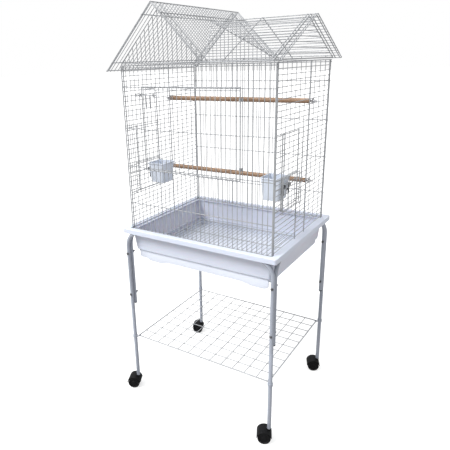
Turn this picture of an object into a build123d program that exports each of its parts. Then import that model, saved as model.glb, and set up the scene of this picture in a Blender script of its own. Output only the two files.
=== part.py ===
from build123d import *
import os
from math import atan2, cos, degrees, hypot, radians, sin

# Bird cage with a house-shaped wire roof, a plastic base with a drawer, and a
# tube stand on casters. Millimetres. X to the right along the front, Y to the
# back, Z up. The origin is on the floor, under the middle of the cage.

os.makedirs("parts", exist_ok=True)

# ---- driving dimensions ----
BAR_PITCH = 15.875
BAY_COUNT = 32
CAGE_W = BAY_COUNT * BAR_PITCH
CAGE_D = 406.4
WALL_TOP = 515.0
RIM_Z = 630.0
BAR_R = 1.1
RAIL_R = 1.3
POST_R = 1.8
WELD = 0.3
RUNG_PITCH = 15.0
RUNG_COUNT = 33
RAIL_LEVELS = [86.0, 208.0, 329.0, 452.0]

HALF_W = CAGE_W / 2
FRONT = -CAGE_D / 2
BACK = CAGE_D / 2

# door opening in the front wall, counted in bars from the left post
DOOR_FIRST_BAR = 5
DOOR_LAST_BAR = 26
DOOR_Z0 = RIM_Z + RAIL_LEVELS[1]
DOOR_Z1 = RIM_Z + RAIL_LEVELS[3]
DOOR_GAP = 5.6

# seed cup openings in the side walls
FEEDER_Y0 = FRONT + 50.0
FEEDER_Y1 = FRONT + 164.0
FEEDER_Z0 = RIM_Z + 119.0
FEEDER_Z1 = RIM_Z + 208.0
FEEDER_GUIDE_TOP = RIM_Z + 329.0
CUP_RAIL_Z = RIM_Z + 183.0
MID_POST_Y = FRONT + 0.589 * CAGE_D
LEFT_POST_TOP = RIM_Z + 435.0

# roof
MAIN_RIDGE_X = -97.0
MAIN_RIDGE_Z = RIM_Z + 677.0
ROOF_FOOT_Z = RIM_Z + 520.0
MAIN_RUN = MAIN_RIDGE_Z - ROOF_FOOT_Z
EAVE_TAIL = 20.0
RAKE_OUT = 43.0
CROSS_RIDGE_Z = RIM_Z + 634.0
CROSS_EAVE_OUT = 28.0
CROSS_RAKE_X = HALF_W + 25.0
CROSS_ROWS = 16
CROSS_STRINGERS_X = [115.0, HALF_W - 4.0, HALF_W + 4.0]
ROOF_R = 1.1
STRINGER_R = 1.4

# base: a rim with a recess for the walls, a drafted shell, and a skirt set in
RIM_OUT_X = 24.0
RIM_OUT_Y = 26.0
RIM_CORNER = 7.0
LIP_H = 16.0
LIP_T = 2.0
FLANGE_T = 3.0
RECESS_X = HALF_W + 3.9
RECESS_Y = CAGE_D / 2 + 8.0
RECESS_WALL = 2.2
LEDGE_Z = RIM_Z - 6.0
LEDGE_IN = 6.0
SHELL_T = 3.0
SHELL_OUT = 2.5
SHELL_DRAFT = 7.0
SHELL_CORNER = 9.0
SHELL_LOW = RIM_Z - 79.0
SKIRT_STEP = 6.0
SKIRT_LOW = RIM_Z - 97.0
SKIRT_NOTCH = 12.0
RUNNER_LIP = 12.0
RUNNER_T = 2.5

# drawer
PANEL_HALF = 236.0
PANEL_T = 4.0
PANEL_MID_Z = RIM_Z - 109.5
PANEL_FOOT_Z = RIM_Z - 116.5
LEFT_FOOT = (-202.0, -155.0)
RIGHT_FOOT = (186.0, 229.0)
FOOT_RAMP = 38.0
TRAY_FLOOR = RIM_Z - 104.0
TRAY_T = 2.5
GRATE_DROP = 2.4

# stand
TUBE_R = 6.35
TUBE_WALL = 1.0
LEG_X = HALF_W + 13.0
LEG_OUT = 17.0
SIDE_LEG_OUT = 3.0
FRAME_TOP_Z = RIM_Z - 10.0
FRAME_BEND_R = 55.0
FRAME_LEG_END = RIM_Z - 303.0
SIDE_LEG_END = RIM_Z - 283.0
BOLT_LEVELS = [RIM_Z - 92.0, RIM_Z - 247.0]
BOLT_R = 2.5
LOWER_LEG_END = 46.5
SPIGOT_R = 5.25
SPIGOT_LEN = 38.0
SHELF_Z = RIM_Z - 417.0
SHELF_CELLS_X = 12
SHELF_CELLS_Y = 10
SHELF_EDGE_R = 2.0
SHELF_BAR_R = 1.25

# casters
WHEEL_R = 21.0
WHEEL_W = 16.0
WHEEL_IN = 5.7
CASTER_TRAIL = 15.0
CASTER_TURN = radians(205.0)
HOOD_IN_R = 22.2
HOOD_OUT_R = 24.2
HOOD_TOP = 43.8
BUSH_RIM = 2.2
BUSH_DEPTH = 34.0
AXLE_R = 2.5
AXLE_COVER = 4.0
STEM_R = 3.5
RUN_FIT = 0.06

# perches and cups
PERCH_R = 7.5
PERCH_Y = FRONT + 248.0
PERCH_LEVELS = [RIM_Z + 402.5, RIM_Z + 162.5]
PERCH_BOLT_R = 2.45
PERCH_BOLT_IN = 22.0
PERCH_BOLT_OUT = 15.0
CUP_W = 63.0
CUP_D = 70.0
CUP_H = 66.0
CUP_T = 2.0
CUP_TAPER = 5.0
CUP_LIP = 2.0
CUP_LIP_H = 4.0
CUP_FLOOR_Z = RIM_Z + 138.0
CUP_WALL_GAP = 8.0
HOOK_T = 1.3
HOOK_W = 7.0
HOOK_APART = 38.0
HOOK_LOW = RIM_Z + 154.0
HOOK_TIP = 9.0
HOOK_STUD_Z = RIM_Z + 166.0
CUP_Y = {"left": FRONT + 122.0, "right": FRONT + 95.0}

CORNERS = {
    "front_left": (-1, -1),
    "front_right": (1, -1),
    "back_left": (-1, 1),
    "back_right": (1, 1),
}


def save(name, *solids):
    """Writes one named sub-part, of one solid or of several separate ones."""
    shape = solids[0] if len(solids) == 1 else Compound(list(solids))
    shape.label = name
    export_step(shape, f"parts/{name}.step")


def rod(start, end, radius):
    """A straight round wire or pin from one point to another."""
    a, b = Vector(*start), Vector(*end)
    return Solid.make_cylinder(radius, (b - a).length, Plane(a, z_dir=b - a))


def ring(centre, axis, inner, outer, height):
    """A flat ring or short sleeve, centred on a point."""
    base = Plane(Vector(*centre) - Vector(*axis).normalized() * (height / 2), z_dir=Vector(*axis))
    return Solid.make_cylinder(outer, height, base) - Solid.make_cylinder(inner, height, base)


def tube(points, radius, wall, bend):
    """A round tube of even wall along a path with equal bends."""
    path = FilletPolyline(*points, radius=bend) if len(points) > 2 else Line(*points)
    section = Plane(path @ 0, z_dir=path % 0)
    return sweep(section * (Circle(radius) - Circle(radius - wall)), path)


# ---- cage walls ----
RAIL_IN = BAR_R + RAIL_R - WELD
POST_IN = RAIL_IN - (POST_R + RAIL_R - WELD)
SIDE_POST_IN = 7.5
RAIL_OVERRUN = 4.5
WALL_FOOT = LEDGE_Z + 0.3
WALL_HEAD = RIM_Z + WALL_TOP + 1.0
FOOT_RAIL_Z = RIM_Z - 3.8
FIRST_RUNG_Z = RIM_Z + 5.0


def bar_x(i):
    """Where the bar of that number stands, counted from the left post."""
    return -HALF_W + i * BAR_PITCH


def long_wall(y, inward, opening):
    """A front or back wall: upright bars outside, level rails inside."""
    z0, z1 = WALL_FOOT, WALL_HEAD
    post_y = y + inward * POST_IN
    wires = [rod((s * HALF_W, post_y, z0), (s * HALF_W, post_y, z1), POST_R) for s in (-1, 1)]
    first, last = (DOOR_FIRST_BAR, DOOR_LAST_BAR) if opening else (0, 0)
    for i in range(1, BAY_COUNT):
        x = bar_x(i)
        if first < i < last:
            wires.append(rod((x, y, z0), (x, y, DOOR_Z0 + RAIL_R), BAR_R))
            wires.append(rod((x, y, DOOR_Z1 - RAIL_R), (x, y, z1), BAR_R))
        else:
            wires.append(rod((x, y, z0), (x, y, z1), BAR_R))
    rail_y = y + inward * RAIL_IN
    wires.append(rod((-HALF_W - 1.0, rail_y, FOOT_RAIL_Z), (HALF_W + 1.0, rail_y, FOOT_RAIL_Z), RAIL_R))
    reach = HALF_W + RAIL_OVERRUN
    for level in [*RAIL_LEVELS, WALL_TOP - 6.0, WALL_TOP]:
        z = RIM_Z + level
        if opening and DOOR_Z0 < z < DOOR_Z1:
            wires.append(rod((-reach, rail_y, z), (bar_x(first), rail_y, z), RAIL_R))
            wires.append(rod((bar_x(last), rail_y, z), (reach, rail_y, z), RAIL_R))
        else:
            wires.append(rod((-reach, rail_y, z), (reach, rail_y, z), RAIL_R))
    return wires


def side_wall(side):
    """A side wall: level rungs outside, uprights inside, with the cup opening."""
    x = side * HALF_W
    y0, y1 = FRONT + SIDE_POST_IN, BACK - SIDE_POST_IN
    rung_x = x + side * (POST_R + BAR_R - WELD)
    wires = [rod((x, y, WALL_FOOT), (x, y, WALL_HEAD), POST_R) for y in (y0, y1, MID_POST_Y)]
    wires.append(rod((x, FEEDER_Y0, FEEDER_Z0 - 4), (x, FEEDER_Y0, FEEDER_GUIDE_TOP + 4), POST_R))
    top = LEFT_POST_TOP if side < 0 else FEEDER_GUIDE_TOP + 4
    wires.append(rod((x, FEEDER_Y1, WALL_FOOT), (x, FEEDER_Y1, top), POST_R))
    for i in range(RUNG_COUNT + 1):
        z = FIRST_RUNG_Z + i * RUNG_PITCH
        if FEEDER_Z0 + 4 < z < FEEDER_Z1 - 4:
            wires.append(rod((rung_x, y0 - POST_R, z), (rung_x, FEEDER_Y0 + 1.4, z), BAR_R))
            wires.append(rod((rung_x, FEEDER_Y1 - 1.4, z), (rung_x, y1 + POST_R, z), BAR_R))
        else:
            wires.append(rod((rung_x, y0 - POST_R, z), (rung_x, y1 + POST_R, z), BAR_R))
    wires.append(rod((x, y0, RIM_Z + WALL_TOP), (x, y1, RIM_Z + WALL_TOP), RAIL_R))
    in_x = x - side * (POST_R + RAIL_R - WELD)
    for z in (FEEDER_Z0, CUP_RAIL_Z, FEEDER_Z1, FEEDER_GUIDE_TOP):
        wires.append(rod((in_x, y0, z), (in_x, FEEDER_Y1 + 6, z), RAIL_R))
    return wires


save("front_wall", *long_wall(FRONT, 1, True))
save("back_wall", *long_wall(BACK, -1, False))
save("left_wall", *side_wall(-1))
save("right_wall", *side_wall(1))

# ---- front door, hung on its right edge wire ----
DOOR_Y = FRONT - DOOR_GAP
DOOR_X0 = bar_x(DOOR_FIRST_BAR) - 1.0
DOOR_X1 = bar_x(DOOR_LAST_BAR) - 4.4
DOOR_LOW = DOOR_Z0 - 3.0
DOOR_HIGH = DOOR_Z1 + 3.0


def door_panel():
    """A wire panel with a heavier edge wire and bars in line with the wall's."""
    wires = [
        rod((DOOR_X0, DOOR_Y, DOOR_LOW), (DOOR_X0, DOOR_Y, DOOR_HIGH), POST_R),
        rod((DOOR_X1, DOOR_Y, DOOR_LOW), (DOOR_X1, DOOR_Y, DOOR_HIGH), POST_R),
        rod((DOOR_X0, DOOR_Y, DOOR_LOW), (DOOR_X1, DOOR_Y, DOOR_LOW), POST_R),
        rod((DOOR_X0, DOOR_Y, DOOR_HIGH), (DOOR_X1, DOOR_Y, DOOR_HIGH), POST_R),
        rod((DOOR_X0, DOOR_Y, RIM_Z + RAIL_LEVELS[2]), (DOOR_X1, DOOR_Y, RIM_Z + RAIL_LEVELS[2]), RAIL_R),
        rod((DOOR_X0, DOOR_Y, DOOR_HIGH - 8.0), (DOOR_X1, DOOR_Y, DOOR_HIGH - 8.0), RAIL_R),
    ]
    for i in range(DOOR_FIRST_BAR + 1, DOOR_LAST_BAR):
        y = DOOR_Y - (BAR_R + RAIL_R - WELD)
        wires.append(rod((bar_x(i), y, DOOR_LOW - 1.0), (bar_x(i), y, DOOR_HIGH + 1.0), BAR_R))
    return wires


def hinge_clip(z):
    """A pressed clip round the door's edge wire and onto the wall's bar."""
    bar = (bar_x(DOOR_LAST_BAR), FRONT, z)
    loop = (DOOR_X1, DOOR_Y, z)
    web = Box(9.5, 2.0, 8.0)
    turn = degrees(atan2(bar[1] - loop[1], bar[0] - loop[0]))
    mid = Location(((bar[0] + loop[0]) / 2, (bar[1] + loop[1]) / 2, z), (0, 0, turn))
    body = mid * web
    body += Pos(*loop) * Cylinder(POST_R + 1.6, 8.0)
    body += Pos(*bar) * Cylinder(BAR_R + 1.4, 8.0)
    body -= Pos(*loop) * Cylinder(POST_R + 0.5, 8.0)
    body -= Pos(*bar) * Cylinder(BAR_R + 0.05, 8.0)
    return body.solids()[0] if len(body.solids()) == 1 else body


LATCH_Z = RIM_Z + 432.0
LATCH_Y = DOOR_Y - POST_R - 5.0
LATCH_R = 1.5
LATCH_TRAVEL = 10.0
LATCH_X0 = bar_x(4) - 4.5 + LATCH_TRAVEL
LATCH_X1 = bar_x(8) + 12.0
LATCH_LOOP = (bar_x(6) + 1.5, bar_x(7) + 1.5)
LATCH_DROP = 36.0


def staple(x, y_root):
    """A small wire staple that carries the latch bolt, open towards its root."""
    r = 1.2
    reach = LATCH_R + 0.5 + r
    y_out = LATCH_Y - reach
    wires = [rod((x, y_root, LATCH_Z + s * reach), (x, y_out, LATCH_Z + s * reach), r) for s in (-1, 1)]
    wires.append(rod((x, y_out, LATCH_Z - reach - r), (x, y_out, LATCH_Z + reach + r), r))
    return wires


save("front_door", *door_panel())
save("door_hinge_clips", *[hinge_clip(z) for z in (DOOR_LOW + 32, DOOR_HIGH - 32)])
save(
    "door_latch",
    rod((LATCH_X0, LATCH_Y, LATCH_Z), (LATCH_X1, LATCH_Y, LATCH_Z), LATCH_R),
    *[rod((x, LATCH_Y, LATCH_Z), (x, LATCH_Y, LATCH_Z - LATCH_DROP), LATCH_R) for x in LATCH_LOOP],
    rod((LATCH_LOOP[0] - 1.0, LATCH_Y, LATCH_Z - LATCH_DROP),
        (LATCH_LOOP[1] + 1.0, LATCH_Y, LATCH_Z - LATCH_DROP), LATCH_R),
)
BAR_FRONT_Y = DOOR_Y - (BAR_R + RAIL_R - WELD) - BAR_R
save("latch_guides", *staple(DOOR_X0, DOOR_Y - POST_R - 0.1), *staple(bar_x(8), BAR_FRONT_Y - 0.1))
save("latch_keeper", *staple(bar_x(4), FRONT - BAR_R - 0.1))

# ---- sliding cup doors ----
FEEDER_DOOR_X = HALF_W + POST_R + 2 * BAR_R + 2.0
GUIDE_R = 1.1


def feeder_door(side):
    """A small wire door that slides up outside the wall."""
    x = side * FEEDER_DOOR_X
    y0, y1 = FEEDER_Y0 - 5.0, FEEDER_Y1 + 5.0
    z0, z1 = FEEDER_Z0 - 2.0, FEEDER_Z1 + 2.0
    wires = [rod((x, y, z0 - 1.0), (x, y, z1 + 1.0), RAIL_R) for y in (y0, y1)]
    wires += [rod((x, y0, z), (x, y1, z), RAIL_R) for z in (z0, z1)]
    for i in range(1, 6):
        z = z0 + i * (z1 - z0) / 6
        wires.append(rod((x, y0, z), (x, y1, z), BAR_R))
    for i in range(1, 3):
        y = y0 + i * (y1 - y0) / 3
        wires.append(rod((x + side * 2.0, y, z0), (x + side * 2.0, y, z1), BAR_R))
    return wires


def door_guides(side):
    """Two upright wires outside each cup door, stood off on short feet."""
    wires = []
    x = side * (FEEDER_DOOR_X + 3.6)
    root = side * (HALF_W + POST_R + 2 * BAR_R + 0.1)
    low, high = FEEDER_Z0 - 9.0, FEEDER_GUIDE_TOP + 6.0
    for y in (FEEDER_Y0 - 10.0, FEEDER_Y1 + 10.0):
        for z in (low, high):
            wires.append(rod((root, y, z), (x, y, z), GUIDE_R))
        wires.append(rod((x, y, low - GUIDE_R), (x, y, high + GUIDE_R), GUIDE_R))
        stop = y + (10.0 if y < FEEDER_Y0 else -10.0)
        wires.append(rod((x, y, low), (x, stop, low), GUIDE_R))
    return wires


for word, side in (("left", -1), ("right", 1)):
    save(f"cup_door_{word}", *feeder_door(side))
    save(f"cup_door_guides_{word}", *door_guides(side))

# ---- roof ----
SLOPE = 2 ** 0.5


def main_z(x):
    """Height of the main roof's wires at that x."""
    return MAIN_RIDGE_Z - abs(x - MAIN_RIDGE_X)


CROSS_RUN = CAGE_D / 2 + CROSS_EAVE_OUT
CROSS_DROP = CROSS_RIDGE_Z - ROOF_FOOT_Z


def cross_z(y):
    """Height of the cross roof's wires at that y."""
    return CROSS_RIDGE_Z - abs(y) * CROSS_DROP / CROSS_RUN


def valley_x(y):
    """Where the main right slope meets the cross roof, at that y."""
    if abs(y) >= CROSS_RUN:
        return MAIN_RIDGE_X + MAIN_RUN
    return MAIN_RIDGE_X + MAIN_RIDGE_Z - cross_z(y)


def main_slope(side):
    """One slope of the main roof, its wires run down from the ridge."""
    wires = []
    y0 = FRONT - RAKE_OUT
    n = round((CAGE_D + 2 * RAKE_OUT) / BAR_PITCH)
    step = (CAGE_D + 2 * RAKE_OUT) / n
    left_end = -HALF_W - EAVE_TAIL
    for i in range(n + 1):
        y = y0 + i * step
        end = left_end if side < 0 else valley_x(y) - 3.2
        r = STRINGER_R if i in (0, n) else ROOF_R
        top = MAIN_RIDGE_X if side < 0 else MAIN_RIDGE_X + 1.3
        wires.append(rod((top, y, main_z(top)), (end, y, main_z(end)), r))
    if side < 0:
        wires.append(rod((MAIN_RIDGE_X, y0, MAIN_RIDGE_Z), (MAIN_RIDGE_X, -y0, MAIN_RIDGE_Z), STRINGER_R))
    off = (ROOF_R + STRINGER_R - WELD) / SLOPE
    rows = [left_end + 1.0, -HALF_W + 3.0, MAIN_RIDGE_X - 31.0] if side < 0 else [MAIN_RIDGE_X + 31.0]
    for x in rows:
        a = (x + side * off, y0, main_z(x) + off)
        wires.append(rod(a, (a[0], -y0, a[2]), STRINGER_R))
    for y in (y0 + 5.0, -y0 - 5.0):
        end = left_end + 2 if side < 0 else valley_x(y) - 4.5
        top = MAIN_RIDGE_X + side * 3.0
        wires.append(rod((top, y, main_z(top)), (end, y, main_z(end)), STRINGER_R))
    return wires


def cross_slope(side):
    """One slope of the cross roof, its wires level, from the valley out."""
    wires = []
    start = 0 if side < 0 else 1
    for i in range(start, CROSS_ROWS + 1):
        y = side * i * CROSS_RUN / CROSS_ROWS
        r = STRINGER_R if i in (0, CROSS_ROWS) else ROOF_R
        wires.append(rod((valley_x(y), y, cross_z(y)), (CROSS_RAKE_X, y, cross_z(y)), r))
    eave = side * CROSS_RUN
    head = 0 if side < 0 else 5.0
    a = (valley_x(head), head, cross_z(head))
    b = (valley_x(eave * 0.9999), eave, ROOF_FOOT_Z)
    wires.append(rod(a, b, STRINGER_R))
    slope = hypot(CROSS_RUN, CROSS_DROP)
    off = ROOF_R + STRINGER_R - WELD
    lift = (0, side * off * CROSS_DROP / slope, off * CROSS_RUN / slope)
    for x in [*CROSS_STRINGERS_X, CROSS_RAKE_X - 1.0, CROSS_RAKE_X - 7.0]:
        a = (x, side * 2.0, CROSS_RIDGE_Z + lift[2] - 1.0)
        wires.append(rod(a, (x, eave + lift[1], ROOF_FOOT_Z + lift[2]), STRINGER_R))
    return wires


END_GAP = ROOF_R + STRINGER_R + 0.8


def gable_end(y):
    """The upright triangle under the main roof, with the soffit wire."""
    foot = ROOF_FOOT_Z + 0.7
    top = MAIN_RIDGE_Z - END_GAP * SLOPE
    left, right = -HALF_W + 2.6, MAIN_RIDGE_X + (top - foot) - 1.0
    wires = [rod((left, y, foot), (HALF_W - 6.0, y, foot), STRINGER_R)]
    inward = 1 if y < 0 else -1
    bar_y = y + inward * (STRINGER_R + BAR_R - WELD)
    for end in (left, right):
        side = -1 if end < MAIN_RIDGE_X else 1
        low = MAIN_RIDGE_Z - abs(end - MAIN_RIDGE_X) - END_GAP * SLOPE
        wires.append(rod((MAIN_RIDGE_X - side * 0.8, y, top + 0.8), (end, y, max(low, foot)), STRINGER_R))
    for i in range(1, 20):
        x = bar_x(i)
        high = main_z(x) - END_GAP * SLOPE
        if high > foot + 6 and x < right:
            wires.append(rod((x, bar_y, foot - 0.8), (x, bar_y, high), BAR_R))
    soffit_z = foot + 5.5
    wires.append(rod((right + 8.0, bar_y, soffit_z), (HALF_W - 8.0, bar_y, soffit_z), BAR_R))
    for i in range(21, 32, 5):
        wires.append(rod((bar_x(i), bar_y, foot - 1.0), (bar_x(i), bar_y, soffit_z + 1.0), BAR_R))
    return wires


def gable_end_right():
    """The upright triangle under the outer end of the cross roof."""
    x = HALF_W
    slope = CROSS_DROP / CROSS_RUN
    fall = END_GAP * hypot(1, slope)
    foot = ROOF_FOOT_Z + 1.5
    half = (CROSS_RIDGE_Z - fall - foot) / slope
    wires = [rod((x, -half, foot), (x, half, foot), POST_R)]
    for side in (-1, 1):
        wires.append(rod((x, -side * 1.0, CROSS_RIDGE_Z - fall), (x, side * half, foot), STRINGER_R))
    rung_x = x - (STRINGER_R + BAR_R - WELD)
    levels = 7
    for i in range(1, levels + 1):
        z = foot + i * 14.4
        reach = (CROSS_RIDGE_Z - fall - z) / slope
        wires.append(rod((rung_x, -reach, z), (rung_x, reach, z), BAR_R))
    return wires


save("roof_main_left_slope", *main_slope(-1))
save("roof_main_right_slope", *main_slope(1))
save("roof_cross_front_slope", *cross_slope(-1))
save("roof_cross_back_slope", *cross_slope(1))
save("gable_end_front", *gable_end(FRONT))
save("gable_end_back", *gable_end(BACK))
save("gable_end_right", *gable_end_right())


# ---- plastic base ----
def block(half_x, half_y, z0, z1, corner, end_x=None, end_y=None):
    """A rounded-corner block between two levels, tapered if the lower end is given."""
    end_x = half_x if end_x is None else end_x
    end_y = half_y if end_y is None else end_y
    low = Pos(0, 0, z0) * RectangleRounded(2 * end_x, 2 * end_y, corner)
    high = Pos(0, 0, z1) * RectangleRounded(2 * half_x, 2 * half_y, corner)
    return loft([low, high]).solid()


HALF_D = CAGE_D / 2
RIM_X, RIM_Y = HALF_W + RIM_OUT_X, HALF_D + RIM_OUT_Y
SHELL_X, SHELL_Y = HALF_W + SHELL_OUT, HALF_D + SHELL_OUT
LOW_X, LOW_Y = SHELL_X - SHELL_DRAFT, SHELL_Y - SHELL_DRAFT
SKIRT_X, SKIRT_Y = LOW_X - SKIRT_STEP, LOW_Y - SKIRT_STEP


def frame_ring(outer, inner, z0, z1, corner):
    """A level band between two rounded rectangles, given as half sizes."""
    wall = min(outer[0] - inner[0], outer[1] - inner[1])
    return block(*outer, z0, z1, corner) - block(*inner, z0, z1, max(corner - wall, 2.0))


def rim():
    """The rim's flat top and turned-down lip, with the recess that the walls stand in."""
    recess = (RECESS_X, RECESS_Y)
    top = frame_ring((RIM_X, RIM_Y), recess, RIM_Z - FLANGE_T, RIM_Z, RIM_CORNER)
    lip = frame_ring((RIM_X, RIM_Y), (RIM_X - LIP_T, RIM_Y - LIP_T), RIM_Z - LIP_H, RIM_Z, RIM_CORNER)
    round_recess = (RECESS_X + RECESS_WALL, RECESS_Y + RECESS_WALL)
    wall = frame_ring(round_recess, recess, LEDGE_Z - FLANGE_T, RIM_Z, SHELL_CORNER)
    inside = (HALF_W - LEDGE_IN, HALF_D - LEDGE_IN)
    ledge = frame_ring(round_recess, inside, LEDGE_Z - FLANGE_T, LEDGE_Z, SHELL_CORNER)
    return top + lip + wall + ledge


def shell():
    """The drafted walls under the rim, with the step at their lower edge."""
    top = LEDGE_Z - FLANGE_T / 2
    body = block(SHELL_X, SHELL_Y, SHELL_LOW, top, SHELL_CORNER, LOW_X, LOW_Y)
    body -= block(SHELL_X - SHELL_T, SHELL_Y - SHELL_T, SHELL_LOW, top, SHELL_CORNER - SHELL_T,
                  LOW_X - SHELL_T, LOW_Y - SHELL_T)
    inside = (SKIRT_X - SHELL_T, SKIRT_Y - SHELL_T)
    return body + frame_ring((LOW_X, LOW_Y), inside, SHELL_LOW, SHELL_LOW + SHELL_T, SHELL_CORNER)


def skirt():
    """Side skirts with the runner lips, and the back skirt, one solid per board."""
    deep = SHELL_LOW + SHELL_T - SKIRT_LOW
    mid_z = SKIRT_LOW + deep / 2
    run = 2 * (SKIRT_Y - 1.0)
    boards = []
    for side in (-1, 1):
        board = Pos(side * (SKIRT_X - SHELL_T / 2), 0, mid_z) * Box(SHELL_T, run, deep)
        board = chamfer(board.edges().filter_by(Axis.X).sort_by(Axis.Z)[0:2], SKIRT_NOTCH)
        lip = Box(SHELL_T + RUNNER_LIP, run - 2 * SKIRT_NOTCH - 2.0, RUNNER_T)
        lip_x = side * (SKIRT_X - (SHELL_T + RUNNER_LIP) / 2)
        board += Pos(lip_x, 0, SKIRT_LOW + RUNNER_T / 2) * lip
        boards.append(board)
    back = Pos(0, SKIRT_Y - SHELL_T / 2, mid_z) * Box(2 * SKIRT_X - 2.0, SHELL_T, deep)
    return boards + [back]


def base_tub():
    """The whole tub: rim, shell and skirt, open in front for the drawer."""
    body = rim() + shell()
    for board in skirt():
        body += board
    return body.solid()


DRAWER_X = SKIRT_X - SHELL_T - RUNNER_LIP - 1.5
DRAWER_FRONT = -SKIRT_Y + PANEL_T / 2 + 0.7
DRAWER_BACK = SKIRT_Y - SHELL_T - 4.0
DRAWER_TOP = SHELL_LOW - 2.0
DRAWER_MID_Y = (DRAWER_BACK + DRAWER_FRONT) / 2


def front_panel():
    """The drawer's wide front, stood on two shallow feet with ramps between them."""
    left, right = LEFT_FOOT, RIGHT_FOOT
    end_z = PANEL_MID_Z + 1.0
    outline = [
        (-PANEL_HALF, DRAWER_TOP), (-PANEL_HALF + 3.0, end_z), (left[0] - 8.0, end_z),
        (left[0], PANEL_FOOT_Z + 1.0), (left[1], PANEL_FOOT_Z), (left[1] + FOOT_RAMP, PANEL_MID_Z),
        (right[0] - FOOT_RAMP, PANEL_MID_Z), (right[0], PANEL_FOOT_Z), (right[1], PANEL_FOOT_Z),
        (PANEL_HALF - 1.0, end_z), (PANEL_HALF, DRAWER_TOP),
    ]
    face = Plane((0, DRAWER_FRONT + PANEL_T / 2, 0), x_dir=(1, 0, 0), z_dir=(0, -1, 0))
    return extrude(face * make_face(Polyline(*outline, close=True)), PANEL_T)


def grate_rests():
    """Small ledges inside the tray that the wire floor lies on."""
    z = DRAWER_TOP - GRATE_DROP - RAIL_R - 0.2 - 2.0
    return [
        Pos(s * (DRAWER_X - TRAY_T - 3.0), y, z) * Box(6.0, 24.0, 4.0)
        for s in (-1, 1)
        for y in (DRAWER_FRONT + 60.0, DRAWER_BACK - 60.0)
    ]


def drawer_tray():
    """A shallow tray with runner ribs, grate rests and a wider front panel."""
    length = DRAWER_BACK - DRAWER_FRONT
    high = DRAWER_TOP - TRAY_FLOOR
    body = Pos(0, DRAWER_MID_Y, TRAY_FLOOR + high / 2) * Box(2 * DRAWER_X, length, high)
    rib_z = SKIRT_LOW + RUNNER_T + 0.6 + RUNNER_T / 2
    rib = Box(2 * (DRAWER_X + RUNNER_LIP + 0.6), length - 40.0, RUNNER_T)
    body += Pos(0, DRAWER_MID_Y + 6.0, rib_z) * rib
    room = Box(2 * (DRAWER_X - TRAY_T), length - 2 * TRAY_T, high)
    body -= Pos(0, DRAWER_MID_Y, TRAY_FLOOR + TRAY_T + high / 2) * room
    for rest in grate_rests():
        body += rest
    return (body + front_panel()).solid()


def floor_grate():
    """The wire floor that lies in the drawer's mouth."""
    z = DRAWER_TOP - GRATE_DROP
    half = DRAWER_X - 4.2
    y0, y1 = DRAWER_FRONT + 8.0, DRAWER_BACK - 5.0
    wires = [rod((s * half, y0, z), (s * half, y1, z), RAIL_R) for s in (-1, 1)]
    wires += [rod((-half, y, z), (half, y, z), RAIL_R) for y in (y0, y1)]
    for y in (y0 + (y1 - y0) / 3, y0 + 2 * (y1 - y0) / 3):
        wires.append(rod((-half, y, z - 2.1), (half, y, z - 2.1), RAIL_R))
    count = 28
    for i in range(1, count):
        x = -half + i * 2 * half / count
        wires.append(rod((x, y0, z), (x, y1, z), BAR_R))
    return wires


save("base_tub", base_tub())
save("drawer_tray", drawer_tray())
save("floor_grate", *floor_grate())


# ---- stand ----
def cross_frame(side):
    """The front or back frame: two long legs bent into the top run."""
    y = side * (HALF_D + LEG_OUT)
    low = FRAME_LEG_END
    return tube([(-LEG_X, y, low), (-LEG_X, y, FRAME_TOP_Z), (LEG_X, y, FRAME_TOP_Z), (LEG_X, y, low)],
                TUBE_R, TUBE_WALL, FRAME_BEND_R)


def side_frame(side):
    """A side frame: two short legs bent into the top run."""
    x, low = side * LEG_X, SIDE_LEG_END
    y = HALF_D + SIDE_LEG_OUT
    return tube([(x, -y, low), (x, -y, FRAME_TOP_Z), (x, y, FRAME_TOP_Z), (x, y, low)],
                TUBE_R, TUBE_WALL, FRAME_BEND_R)


for word, side in (("front", -1), ("back", 1)):
    frame = cross_frame(side)
    for sx in (-1, 1):
        for z in BOLT_LEVELS:
            y = side * (HALF_D + LEG_OUT)
            frame -= rod((sx * LEG_X, y - 9.0, z), (sx * LEG_X, y + 9.0, z), BOLT_R + 0.3)
    save(f"stand_{word}_frame", frame.solid())
for word, side in (("left", -1), ("right", 1)):
    frame = side_frame(side)
    for sy in (-1, 1):
        for z in BOLT_LEVELS:
            y = sy * (HALF_D + SIDE_LEG_OUT)
            frame -= rod((side * LEG_X, y - 6.8, z), (side * LEG_X, y + 6.8, z), BOLT_R + 0.3)
    save(f"stand_{word}_frame", frame.solid())

LEG_Y = HALF_D + LEG_OUT
BOLT_FAR = HALF_D + LEG_OUT + TUBE_R
BOLT_NEAR = HALF_D + SIDE_LEG_OUT - TUBE_R
leg_bolts, leg_nuts = [], []
for sx, sy in CORNERS.values():
    for z in BOLT_LEVELS:
        x = sx * LEG_X
        shank = rod((x, sy * (BOLT_FAR + 0.1), z), (x, sy * (BOLT_NEAR - 6.0), z), BOLT_R)
        head = rod((x, sy * (BOLT_FAR + 0.1), z), (x, sy * (BOLT_FAR + 3.0), z), 4.6)
        leg_bolts.append((shank + head).solid())
        face = Plane((x, sy * (BOLT_NEAR - 0.2), z), z_dir=(0, -sy, 0))
        nut = extrude(face * RegularPolygon(4.6, 6), 4.0)
        nut -= rod((x, sy * (BOLT_NEAR + 2.0), z), (x, sy * (BOLT_NEAR - 8.0), z), BOLT_R + 0.02)
        leg_nuts.append(nut.solid())
save("stand_bolts", *leg_bolts)
save("stand_nuts", *leg_nuts)

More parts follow.
